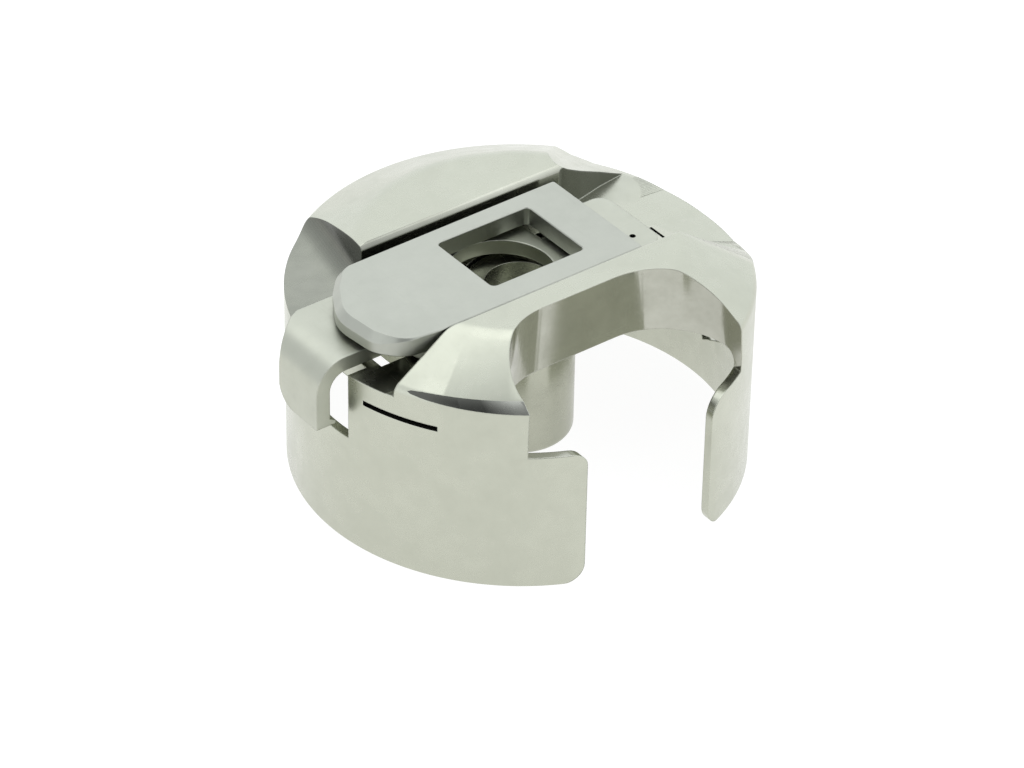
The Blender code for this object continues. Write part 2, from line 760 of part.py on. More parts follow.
def claw_outline():
    """Outline of the claw as (x, z): a bend down over the wall, with a tooth at its tip."""
    centre_z = SLIDE_TOP_Z - CLAW_BEND
    inner = CLAW_BEND - SLIDE_THICK
    turns = [math.radians(a) for a in range(90, 181, 10)]
    over = [
        (CLAW_BEND_X + CLAW_BEND * math.cos(t), centre_z + CLAW_BEND * math.sin(t)) for t in turns
    ]
    under = [
        (CLAW_BEND_X + inner * math.cos(t), centre_z + inner * math.sin(t))
        for t in reversed(turns)
    ]
    inside_x = CLAW_BEND_X - inner
    tip = [
        (CLAW_OUT_X, CLAW_BOTTOM_Z),
        (inside_x + CLAW_TOOTH, CLAW_BOTTOM_Z),
        (inside_x + CLAW_TOOTH, CLAW_BOTTOM_Z + CLAW_TOOTH_HEIGHT / 2),
        (inside_x, CLAW_BOTTOM_Z + CLAW_TOOTH_HEIGHT),
    ]
    root = CLAW_BEND_X + 1.5 * MM
    return [(root, SLIDE_TOP_Z), *over, *tip, *under, (root, SLIDE_BOTTOM_Z)]


def claw_end():
    """Cutters for the claw's far end: its tip narrows, and its lower corner is round."""
    corner = [
        (CLAW_BEND_X + 0.3 * MM, CLAW_BACK_Y + 1 * MM),
        (CLAW_BEND_X + 0.3 * MM, CLAW_BACK_Y),
        (CLAW_OUT_X, CLAW_BACK_Y - 0.7 * CLAW_END_CHAMFER),
        (CLAW_OUT_X - 1 * MM, CLAW_BACK_Y - CLAW_END_CHAMFER),
        (CLAW_OUT_X - 1 * MM, CLAW_BACK_Y + 1 * MM),
    ]
    narrow = plate("cut_claw_end", corner, CLAW_BOTTOM_Z - 1 * MM, SLIDE_TOP_Z + 1 * MM)
    y0, z0 = CLAW_BACK_Y - 0.7 * MM - CLAW_END_CORNER, CLAW_BOTTOM_Z
    low = [(y0 - 1 * MM, z0 - 1 * MM), (CLAW_BACK_Y + 1 * MM, z0 - 1 * MM)]
    low += [(CLAW_BACK_Y + 1 * MM, z0 + CLAW_END_CORNER), (y0 + CLAW_END_CORNER, z0 + CLAW_END_CORNER)]
    for a in range(10, 91, 10):
        t = math.radians(a)
        low.append(
            (y0 + CLAW_END_CORNER * math.cos(t), z0 + CLAW_END_CORNER * (1 - math.sin(t)))
        )
    low.append((y0 - 1 * MM, z0))
    bottom = plate("cut_claw_corner", low, 12 * MM, BEYOND, upright=True)
    bottom.data.transform(Matrix.Rotation(math.pi / 2, 4, "Z"))
    return narrow, bottom


def make_slide():
    half, tail, neck = SLIDE_HALF_WIDTH, SLIDE_TAIL_HALF, SLIDE_NECK_HALF
    claw_x = CLAW_BEND_X + 1 * MM
    corners = [
        (SLIDE_TAIL_X, -tail, SLIDE_TAIL_CORNER),
        (SLIDE_TAIL_X, tail, SLIDE_TAIL_CORNER),
        (SLIDE_NECK_X1, tail, 0),
        (SLIDE_NECK_X1, neck, 0),
        (SLIDE_NECK_X0, neck, 0),
        (SLIDE_NECK_X0, half, 0.5 * MM),
        (CLAW_ROOT_X, half, 0.2 * MM),
        (CLAW_ROOT_X, CLAW_BACK_Y, 0),
        (claw_x, CLAW_BACK_Y, 0),
        (claw_x, CLAW_FRONT_Y, 0),
        (CLAW_ROOT_X, CLAW_FRONT_Y, 0.3 * MM),
        (CLAW_ROOT_X, -half, 1.5 * MM),
        (SLIDE_NECK_X0, -half, 0.5 * MM),
        (SLIDE_NECK_X0, -neck, 0),
        (SLIDE_NECK_X1, -neck, 0),
        (SLIDE_NECK_X1, -tail, 0),
    ]
    hole = circle(SLIDE_HOLE_RADIUS, 64, SLIDE_HOLE_X)
    slide = plate(
        "latch_slide", rounded(corners), SLIDE_BOTTOM_Z, SLIDE_TOP_Z, holes=[hole], cutter=False
    )
    claw = plate("add_claw", claw_outline(), CLAW_FRONT_Y, CLAW_BACK_Y, upright=True)
    stem = box(
        "add_knuckle_stem",
        HINGE_X - KNUCKLE_RADIUS,
        HINGE_X + KNUCKLE_RADIUS,
        -neck,
        neck,
        SLIDE_BOTTOM_Z + SLIDE_THICK / 2,
        HINGE_Z,
    )
    knuckle = cylinder(
        "add_knuckle", KNUCKLE_RADIUS, (HINGE_X, -neck, HINGE_Z), (HINGE_X, neck, HINGE_Z), 32
    )
    pin_hole = cylinder(
        "cut_knuckle_bore",
        PIN_RADIUS + PIN_CLEAR,
        (HINGE_X, -half, HINGE_Z),
        (HINGE_X, half, HINGE_Z),
        32,
    )
    relief = box(
        "cut_neck_relief",
        HINGE_X + KNUCKLE_RADIUS + 0.05 * MM,
        SLIDE_NECK_X1 + 0.1 * MM,
        -half,
        half,
        SLIDE_TOP_Z - NECK_RELIEF,
        LATCH_BOTTOM_Z,
    )
    room = SPRING_MEAN_RADIUS + SPRING_WIRE / 2 + SPRING_ROOM
    pocket = box(
        "cut_slide_pocket",
        SPRING_X0 - SPRING_ROOM,
        SPRING_X0 + SPRING_LENGTH + SPRING_ROOM,
        SPRING_Y - room,
        SPRING_Y + room,
        SLIDE_BOTTOM_Z - 1 * MM,
        spring_z() + room,
    )
    cut(claw, *claw_end())
    join(slide, claw, stem, knuckle)
    cut(slide, pin_hole, relief, pocket)
    return finish(slide, "latch_slide", GROUND, (HINGE_X, 0, SLIDE_BOTTOM_Z))


def latch_outline():
    return rounded(
        [
            (LATCH_END_X, LATCH_FRONT_Y, 0.2 * MM),
            (LATCH_END_X, LATCH_BACK_Y, 0.2 * MM),
            (LATCH_TIP_X + 2.55 * MM, LATCH_BACK_Y, 1.6 * MM),
            (LATCH_TIP_X, LATCH_BACK_Y - 3.4 * MM, 2.0 * MM),
            (LATCH_TIP_X, LATCH_FRONT_Y, 3.3 * MM),
        ],
        7.0,
    )


def latch_window():
    return rounded(
        [
            (WINDOW_X0, -WINDOW_HALF_Y, WINDOW_CORNER),
            (WINDOW_X1, -WINDOW_HALF_Y, WINDOW_CORNER),
            (WINDOW_X1, WINDOW_HALF_Y, WINDOW_CORNER),
            (WINDOW_X0, WINDOW_HALF_Y, WINDOW_CORNER),
        ],
        30.0,
    )


def make_latch():
    lever = plate(
        "latch_lever",
        latch_outline(),
        LATCH_BOTTOM_Z,
        LATCH_TOP_Z,
        holes=[latch_window()],
        cutter=False,
    )
    added = []
    for name, side in (("back", 1), ("front", -1)):
        y0, y1 = sorted((side * LUG_INNER_Y, side * LUG_OUTER_Y))
        barrel = cylinder(
            f"add_barrel_{name}", BARREL_RADIUS, (HINGE_X, y0, HINGE_Z), (HINGE_X, y1, HINGE_Z), 40
        )
        lug = box(
            f"add_lug_{name}",
            HINGE_X - LUG_HALF_X,
            HINGE_X + LUG_HALF_X,
            y0,
            y1,
            HINGE_Z - LUG_LENGTH,
            LATCH_BOTTOM_Z + LATCH_THICK / 2,
        )
        added += [barrel, lug]
    knuckle_room = box(
        "cut_knuckle_room",
        HINGE_X - KNUCKLE_RADIUS - 0.4 * MM,
        LATCH_END_X + 1 * MM,
        -SLIDE_NECK_HALF - SIDE_GAP,
        SLIDE_NECK_HALF + SIDE_GAP,
        LATCH_BOTTOM_Z - 1 * MM,
        LATCH_SKIN_Z,
    )
    bore = cylinder(
        "cut_latch_bore",
        PIN_RADIUS + PIN_CLEAR,
        (HINGE_X, -LUG_OUTER_Y - 0.02 * MM, HINGE_Z),
        (HINGE_X, LUG_OUTER_Y + 0.02 * MM, HINGE_Z),
        32,
    )
    join(lever, *added)
    cut(lever, knuckle_room, bore)
    return finish(lever, "latch_lever", GROUND, (HINGE_X, 0, HINGE_Z))


def make_hinge_pin():
    reach = LUG_OUTER_Y - 0.1 * MM
    pin = cylinder(
        "latch_hinge_pin",
        PIN_RADIUS,
        (HINGE_X, -reach, HINGE_Z),
        (HINGE_X, reach, HINGE_Z),
        32,
        cutter=False,
    )
    return finish(pin, "latch_hinge_pin", TURNED, (HINGE_X, 0, HINGE_Z))


def make_return_spring():
    per_turn = 10
    count = SPRING_TURNS * per_turn
    curve = bpy.data.curves.new("slide_return_spring", "CURVE")
    curve.dimensions = "3D"
    curve.bevel_depth = SPRING_WIRE / 2
    curve.bevel_resolution = 2
    curve.use_fill_caps = True
    spline = curve.splines.new("POLY")
    spline.points.add(count)
    span = SPRING_LENGTH - SPRING_WIRE
    for i, point in enumerate(spline.points):
        turn = 2 * math.pi * i / per_turn
        point.co = (
            SPRING_X0 + SPRING_WIRE / 2 + span * i / count,
            SPRING_Y + SPRING_MEAN_RADIUS * math.cos(turn),
            spring_z() + SPRING_MEAN_RADIUS * math.sin(turn),
            1.0,
        )
    spring = add_object("slide_return_spring", mesh_from_curve(curve, Matrix()))
    return finish(spring, "slide_return_spring", SPRING)


# ---------------------------------------------------------------- springs and screws of the case


def make_brake_spring():
    z0 = BRAKE_SLOT_Z0 + (BRAKE_SLOT_HEIGHT - BRAKE_THICK) / 2
    z1 = z0 + BRAKE_THICK
    ring = plate(
        "brake_spring",
        circle(BRAKE_RING_OUT, 64),
        z0,
        z1,
        holes=[circle(BRAKE_RING_IN, 64)],
        cutter=False,
    )
    added = []
    for name, turn in (("a", 0.0), ("b", 180.0)):
        middle = (BRAKE_SLOT_FROM + BRAKE_SLOT_TO) / 2 + turn
        half = (BRAKE_SLOT_TO - BRAKE_SLOT_FROM) / 2 - 1.2
        ear = plate(
            f"add_brake_ear_{name}",
            sector(INNER_RADIUS - 0.75 * MM, WALL_RADIUS - 0.35 * MM, middle - half, middle + half),
            z0,
            z1,
        )
        arm = box(
            f"add_brake_arm_{name}",
            (BRAKE_RING_IN + BRAKE_RING_OUT) / 2,
            INNER_RADIUS - 0.55 * MM,
            -BRAKE_ARM_HALF,
            BRAKE_ARM_HALF,
            z0,
            z1,
        )
        arm.data.transform(Matrix.Rotation(math.radians(middle), 4, "Z"))
        added += [arm, ear]
    start = (BRAKE_RING_IN + BRAKE_RING_OUT) / 2
    run = BRAKE_TONGUE_Y - start
    slope = math.atan2(BRAKE_TONGUE_DROP, run)
    tongue = box(
        "add_brake_tongue",
        -BRAKE_TONGUE_HALF,
        BRAKE_TONGUE_HALF,
        0,
        math.hypot(run, BRAKE_TONGUE_DROP),
        -BRAKE_THICK,
        0,
    )
    tongue.data.transform(
        Matrix.Translation((0, start, z1)) @ Matrix.Rotation(-slope, 4, "X")
    )
    join(ring, *added, tongue)
    return finish(ring, "brake_spring", SPRING)


def make_tension_spring():
    leaf = plate(
        "tension_spring",
        sector(LEAF_IN, LEAF_OUT, LEAF_FROM, LEAF_TO),
        LEAF_Z0,
        LEAF_Z1,
        cutter=False,
    )
    eye = plate(
        "cut_leaf_eye",
        sector(LEAF_IN - 1 * MM, LEAF_OUT + 1 * MM, LEAF_EYE_FROM, LEAF_EYE_TO),
        LEAF_Z0 - 1 * MM,
        LEAF_EYE_Z,
    )
    holes = [
        cylinder(
            f"cut_leaf_{name}",
            SCREW_SHANK + SIDE_GAP,
            radial(angle, LEAF_IN - 1 * MM, SCREW_Z),
            radial(angle, LEAF_OUT + 1 * MM, SCREW_Z),
            32,
        )
        for name, angle in (("adjust", ADJUST_ANGLE), ("fix", FIX_ANGLE))
    ]
    cut(leaf, eye, *holes)
    return finish(leaf, "tension_spring", SPRING)


def make_screw(name, angle, head_radius, head, origin_at_joint):
    """A slotted screw through the leaf into the wall, on a line out from the axis."""
    base = radial(angle, HEAD_BASE, SCREW_Z)
    outer = radial(angle, HEAD_BASE + head, SCREW_Z)
    body = cylinder(name, head_radius, base, outer, 40, cutter=False)
    shank = cylinder(
        f"add_{name}_shank",
        SCREW_SHANK,
        radial(angle, INNER_RADIUS + 0.1 * MM, SCREW_Z),
        radial(angle, HEAD_BASE + head / 2, SCREW_Z),
        32,
    )
    slot = box(
        f"cut_{name}_slot",
        HEAD_BASE + head - SCREW_SLOT_DEPTH,
        HEAD_BASE + head + 1 * MM,
        -head_radius - 1 * MM,
        head_radius + 1 * MM,
        -SCREW_SLOT / 2,
        SCREW_SLOT / 2,
    )
    slot.data.transform(
        Matrix.Translation((0, 0, SCREW_Z)) @ Matrix.Rotation(math.radians(angle), 4, "Z")
    )
    join(body, shank)
    cut(body, slot)
    return finish(body, name, SCREW, base if origin_at_joint else None)


make_body()
make_tube()
make_slide()
make_latch()
make_hinge_pin()
make_return_spring()
make_brake_spring()
make_tension_spring()
make_screw("tension_adjusting_screw", ADJUST_ANGLE, ADJUST_HEAD_RADIUS, ADJUST_HEAD, True)
make_screw("tension_spring_screw", FIX_ANGLE, FIX_HEAD_RADIUS, FIX_HEAD, False)
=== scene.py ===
"""Looks of the bobbin case: its pieces rebuilt finely, metal finishes and a plain studio."""

import math

import bmesh
import bpy
from mathutils import Matrix, Vector


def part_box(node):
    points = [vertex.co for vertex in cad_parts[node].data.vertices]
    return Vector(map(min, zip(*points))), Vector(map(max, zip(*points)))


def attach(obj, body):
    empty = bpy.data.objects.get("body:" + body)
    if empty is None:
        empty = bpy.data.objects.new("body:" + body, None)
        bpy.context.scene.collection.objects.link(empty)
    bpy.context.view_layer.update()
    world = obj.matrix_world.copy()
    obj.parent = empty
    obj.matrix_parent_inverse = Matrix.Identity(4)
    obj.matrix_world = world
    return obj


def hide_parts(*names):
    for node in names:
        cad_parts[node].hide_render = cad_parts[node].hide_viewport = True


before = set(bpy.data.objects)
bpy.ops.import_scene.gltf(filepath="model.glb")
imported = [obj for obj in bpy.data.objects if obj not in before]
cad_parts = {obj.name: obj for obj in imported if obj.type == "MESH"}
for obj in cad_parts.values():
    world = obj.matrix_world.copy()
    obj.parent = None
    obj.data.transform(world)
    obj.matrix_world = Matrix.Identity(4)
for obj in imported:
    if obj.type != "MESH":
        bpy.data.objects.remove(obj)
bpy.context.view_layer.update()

MM = 0.001
TUBE_LOW, TUBE_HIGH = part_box("centre_tube")
AXIS = Vector(((TUBE_LOW[0] + TUBE_HIGH[0]) / 2, (TUBE_LOW[1] + TUBE_HIGH[1]) / 2, 0.0))


def z_range(node):
    low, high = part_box(node)
    return low[2] / MM, high[2] / MM


# Sizes in millimetres from the bobbin's axis
LATCH_THICK = 1.3
LATCH_TO_SLIDE_TOP = 1.6
SLIDE_THICK = 1.0
SLIDE_CLEARANCE = 0.3
ROOF_UNDER_CHANNEL = 1.8
CREASE_DROP = 2.4
WING_DROP = 1.1
WALL_RADIUS = 14.7
INNER_RADIUS = 14.1
TOP_RADIUS = 10.1
CONE_SLOPE = 0.53

# Heights
TOP_Z = z_range("case_body")[1]
LATCH_TOP = z_range("latch_lever")[1]
SLIDE_TOP = LATCH_TOP - LATCH_TO_SLIDE_TOP
SLIDE_BOTTOM = SLIDE_TOP - SLIDE_THICK
FLOOR_Z = SLIDE_BOTTOM - SLIDE_CLEARANCE
CEILING_Z = FLOOR_Z - ROOF_UNDER_CHANNEL
CREASE_Z = TOP_Z - CREASE_DROP
WING_TOP = CEILING_Z - WING_DROP

# Hinge of the latch, its pin's bore and its lugs
HINGE_X = 4.95
HINGE_DROP = 1.05
HINGE = Vector((HINGE_X, 0, LATCH_TOP - HINGE_DROP))
PIN_BORE = 0.45
LUG_REACH = 2.1

# Groove of the return spring: its sides along Y
GROOVE_LOW_Y, GROOVE_HIGH_Y = 0.35, 1.65

# Where cutters end, clear of the part
ABOVE = TOP_Z + 3
BEYOND = 20.0
OUTSIDE_WALL = 17

# Edges that turn by less than this are shaded smooth
SMOOTH_ANGLE = math.radians(28.0)

# ---------------------------------------------------------------- mesh helpers, in millimetres

# Points nearer than this are one point, when a piece is made and after a join or cut
WELD = 1e-5
WELD_AFTER_BOOLEAN = 2e-4
SHORTEST_EDGE = 1e-4

def keep(bm, name):
    """Turns a finished bmesh into an object of the scene."""
    bmesh.ops.remove_doubles(bm, verts=bm.verts, dist=WELD)
    bmesh.ops.recalc_face_normals(bm, faces=bm.faces)
    mesh = bpy.data.meshes.new(name)
    bm.to_mesh(mesh)
    bm.free()
    obj = bpy.data.objects.new(name, mesh)
    bpy.context.scene.collection.objects.link(obj)
    return obj


def box(x0, x1, y0, y1, z0, z1, matrix=None):
    """A block between two limits along each axis."""
    bm = bmesh.new()
    bmesh.ops.create_cube(bm, size=1.0)
    bmesh.ops.scale(bm, vec=(x1 - x0, y1 - y0, z1 - z0), verts=bm.verts)
    bmesh.ops.translate(bm, vec=((x0 + x1) / 2, (y0 + y1) / 2, (z0 + z1) / 2), verts=bm.verts)
    if matrix is not None:
        bmesh.ops.transform(bm, matrix=matrix, verts=bm.verts)
    return keep(bm, "box")


def rod(radius, start, end, steps):
    """A plain turned bar from one point to another."""
    start, end = Vector(start), Vector(end)
    length = (end - start).length
    obj = lathe([(0.0, 0.0), (radius, 0.0), (radius, length), (0.0, length)], steps)
    turn = Vector((0, 0, 1)).rotation_difference((end - start).normalized()).to_matrix().to_4x4()
    obj.data.transform(Matrix.Translation(start) @ turn)
    return obj


def lathe(profile, steps):
    """Turns a profile of (radius, z) about the axis.

    A profile that doesn't start on the axis closes on itself.
    """
    bm = bmesh.new()
    turns = [2 * math.pi * i / steps for i in range(steps)]
    rings = []
    for radius, z in profile:
        if radius == 0:
            rings.append([bm.verts.new((0, 0, z))])
        else:
            rings.append(
                [bm.verts.new((radius * math.cos(t), radius * math.sin(t), z)) for t in turns]
            )
    if len(rings[0]) > 1:
        rings.append(rings[0])
    for low, high in zip(rings, rings[1:]):
        for i in range(steps):
            j = (i + 1) % steps
            if len(low) == 1 and len(high) == 1:
                continue
            if len(low) == 1:
                bm.faces.new((low[0], high[i], high[j]))
            elif len(high) == 1:
                bm.faces.new((low[i], low[j], high[0]))
            else:
                bm.faces.new((low[i], low[j], high[j], high[i]))
    return keep(bm, "lathe")


def radial(angle, radius, z):
    """The point at an angle in degrees round the axis."""
    turn = math.radians(angle)
    return Vector((radius * math.cos(turn), radius * math.sin(turn), z))


def arc(cx, cy, radius, start, end, pieces):
    """Points of an arc between two angles in degrees."""
    return [
        (
            cx + radius * math.cos(math.radians(start + (end - start) * i / pieces)),
            cy + radius * math.sin(math.radians(start + (end - start) * i / pieces)),
        )
        for i in range(pieces + 1)
    ]


def rounded(corners, step=6.0):
    """Points round a closed outline of (x, y, radius) corners, with each corner rounded."""
    points = []
    count = len(corners)
    for i, (x, y, radius) in enumerate(corners):
        corner = Vector((x, y))
        if radius <= 0:
            points.append(corner)
            continue
        before = (Vector(corners[i - 1][:2]) - corner).normalized()
        after = (Vector(corners[(i + 1) % count][:2]) - corner).normalized()
        half = math.acos(max(-1.0, min(1.0, before.dot(after)))) / 2
        centre = corner + (before + after).normalized() * (radius / math.sin(half))
        start = corner + before * (radius / math.tan(half)) - centre
        sweep = start.angle_signed(corner + after * (radius / math.tan(half)) - centre)
        pieces = max(2, math.ceil(abs(math.degrees(sweep)) / step))
        for j in range(pieces + 1):
            points.append(centre + Matrix.Rotation(-sweep * j / pieces, 2) @ start)
    return points


def sector(inner, outer, start, end, step=1.5):
    """An outline between two radii and two angles in degrees."""
    pieces = max(2, math.ceil((end - start) / step))
    far = arc(0, 0, outer, start, end, pieces)
    near = arc(0, 0, inner, start, end, pieces)
    return far + near[::-1]


def circle(radius, x=0.0, steps=96):
    return arc(x, 0.0, radius, 0, 360, steps)[:-1]


def outward(points):
    """The outward direction at each point of a closed outline, longer where it turns sharply."""
    count = len(points)
    area = sum(
        points[i].x * points[(i + 1) % count].y - points[(i + 1) % count].x * points[i].y
        for i in range(count)
    )
    side = 1.0 if area > 0 else -1.0
    found = []
    for i in range(count):
        before = (points[i] - points[i - 1]).normalized()
        after = (points[(i + 1) % count] - points[i]).normalized()
        a, b = Vector((before.y, -before.x)), Vector((after.y, -after.x))
        mid = (a + b).normalized() * side
        found.append(mid / max(0.5, abs(mid.dot(a))))
    return found


def slab(outline, low, high, holes=(), top_edge=None, bottom_edge=None, upright=False):
    """A flat plate whose edges can be broken by a chamfer.

    top_edge and bottom_edge are functions of a point that give the chamfer's (inward, depth).
    An upright slab is given as (x, z) with its thickness along Y.
    """
    bm = bmesh.new()
    tops, bottoms = [], []
    for index, points in enumerate((outline, *holes)):
        points = [Vector(p) for p in points]
        away = outward(points)
        if index:
            away = [-a for a in away]
        layers = []
        for edge, level, sign in ((bottom_edge, low, 1), (top_edge, high, -1)):
            if not edge:
                layers.append([bm.verts.new((p.x, p.y, level)) for p in points])
                continue
            reaches = [edge(p) for p in points]
            side = [
                bm.verts.new((p.x, p.y, level + sign * depth))
                for p, (_, depth) in zip(points, reaches)
            ]
            face = []
            for p, a, (inward, _) in zip(points, away, reaches):
                at = p - a * inward
                face.append(bm.verts.new((at.x, at.y, level)))
            layers += [face, side] if sign == 1 else [side, face]
        for first, second in zip(layers, layers[1:]):
            count = len(first)
            for i in range(count):
                j = (i + 1) % count
                bm.faces.new((first[i], first[j], second[j], second[i]))
        bottoms.append(layers[0])
        tops.append(layers[-1])
    for loops in (bottoms, tops):
        edges = []
        for loop in loops:
            for i, vert in enumerate(loop):
                other = loop[(i + 1) % len(loop)]
                edges.append(bm.edges.get((vert, other)) or bm.edges.new((vert, other)))
        bmesh.ops.triangle_fill(bm, edges=edges, use_beauty=True, use_dissolve=False)
    if upright:
        turn = Matrix.Rotation(math.pi / 2, 4, "X")
        bmesh.ops.transform(bm, matrix=Matrix.Scale(-1, 4, (0, 1, 0)) @ turn, verts=bm.verts)
    return keep(bm, "slab")


def combine(target, operation, *others):
    """Joins or cuts solids at once, and keeps only the result."""
    for other in others:
        modifier = target.modifiers.new("made", "BOOLEAN")
        modifier.operation = operation
        modifier.solver = "EXACT"
        modifier.material_mode = "TRANSFER"
        modifier.object = other
    graph = bpy.context.evaluated_depsgraph_get()
    graph.update()
    mesh = bpy.data.meshes.new_from_object(target.evaluated_get(graph))
    target.modifiers.clear()
    old = target.data
    target.data = mesh
    bpy.data.meshes.remove(old)
    for other in others:
        bpy.data.objects.remove(other)
    bm = bmesh.new()
    bm.from_mesh(mesh)
    bmesh.ops.remove_doubles(bm, verts=bm.verts, dist=WELD_AFTER_BOOLEAN)
    bmesh.ops.dissolve_degenerate(bm, edges=bm.edges, dist=SHORTEST_EDGE)
    bm.to_mesh(mesh)
    bm.free()
    return target


def cut(target, *others):
    return combine(target, "DIFFERENCE", *others)


def join(target, *others):
    return combine(target, "UNION", *others)


def finish_with(obj, look):
    """Gives a solid its metal, unless it has one. A cutter leaves its own metal on what it cuts."""
    if not any(obj.data.materials):
        obj.data.materials.clear()
        obj.data.materials.append(look)
    return obj


def grid_solid(rows):
    """A closed solid through rows of points, each row a closed loop of the same length."""
    bm = bmesh.new()
    made = [[bm.verts.new(p) for p in row] for row in rows]
    for first, second in zip(made, made[1:]):
        for i in range(len(first)):
            j = (i + 1) % len(first)
            bm.faces.new((first[i], first[j], second[j], second[i]))
    bm.faces.new(made[0])
    bm.faces.new(made[-1])
    return keep(bm, "swept")


def between(table, steps):
    """Rows of a table of numbers, filled in evenly by straight steps."""
    rows = []
    for first, second in zip(table, table[1:]):
        for k in range(steps):
            rows.append([a + (b - a) * k / steps for a, b in zip(first, second)])
    rows.append(list(table[-1]))
    return rows


def rim_cut(table, reach, steps):
    """Lowers the top near the wall. Each row is (angle, height at the wall, slope inwards)."""
    rows = []
    inner = WALL_RADIUS - reach
    over = ABOVE + 2
    for angle, height, slope in between(table, steps):
        rows.append(
            [
                radial(angle, inner, height + slope * reach),
                radial(angle, OUTSIDE_WALL, height - slope * (OUTSIDE_WALL - WALL_RADIUS)),
                radial(angle, OUTSIDE_WALL, over),
                radial(angle, inner, over),
            ]
        )
    return grid_solid(rows)


def place(obj, name, look, body, nodes):
    """Puts a piece built in millimetres on the case's axis, in place of its CAD nodes."""
    obj.data.transform(Matrix.Translation(AXIS) @ Matrix.Scale(MM, 4))
    obj.name = name
    obj.data.name = name
    finish_with(obj, look)
    obj.data.shade_smooth()
    obj.data.set_sharp_from_angle(angle=SMOOTH_ANGLE)
    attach(obj, body)
    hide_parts(*nodes)


# ---------------------------------------------------------------- metals


class Nodes:
    """A short way to write a material's nodes."""

    def __init__(self, name):
        self.material = bpy.data.materials.new(name)
        self.material.use_nodes = True
        self.tree = self.material.node_tree
        self.shader = self.tree.nodes["Principled BSDF"]

    def add(self, kind, inputs=(), **settings):
        node = self.tree.nodes.new(kind)
        for key, value in settings.items():
            setattr(node, key, value)
        for key, value in dict(inputs).items():
            if isinstance(value, bpy.types.NodeSocket):
                self.tree.links.new(value, node.inputs[key])
            else:
                node.inputs[key].default_value = value
        return node

    def link(self, source, target):
        self.tree.links.new(source, target)

    def maths(self, operation, a, b=0.0):
        return self.add("ShaderNodeMath", {0: a, 1: b}, operation=operation).outputs[0]

    def xyz(self, vector):
        return self.add("ShaderNodeSeparateXYZ", {0: vector}).outputs

    def remap(self, value, low, high, to_low, to_high):
        return self.add(
            "ShaderNodeMapRange", {0: value, 1: low, 2: high, 3: to_low, 4: to_high}
        ).outputs[0]

    def mix(self, factor, a, b):
        node = self.add("ShaderNodeMix", data_type="RGBA")
        for socket, value in ((node.inputs[0], factor), (node.inputs[6], a), (node.inputs[7], b)):
            if isinstance(value, bpy.types.NodeSocket):
                self.link(value, socket)
            else:
                socket.default_value = value
        return node.outputs[2]

    def stretched(self, vector, scale, rotation=(0, 0, 0)):
        return self.add(
            "ShaderNodeMapping", {"Vector": vector, "Scale": scale, "Rotation": rotation}
        ).outputs[0]

    def noise(self, vector, scale, detail=2.0, roughness=0.5):
        return self.add(
            "ShaderNodeTexNoise",
            {"Vector": vector, "Scale": scale, "Detail": detail, "Roughness": roughness},
        ).outputs[0]


# Depths of the marks in a metal's bump, as shares of BUMP_DEPTH
BUMP_DEPTH = 0.02 * MM
BUMP_STRENGTH = 0.25
HAIR_DEPTH = 0.12
PIT_DEPTH = 0.3
RIPPLE_DEPTH = 0.25

# Painted shade: the colours that a face darkens to on its steep sides and towards the claw,
# standing in for shadow and dim reflections
PAINTED_SIDE_SHADE = (0.05, 0.052, 0.045, 1)
PAINTED_CLAW_SHADE = (0.06, 0.062, 0.055, 1)


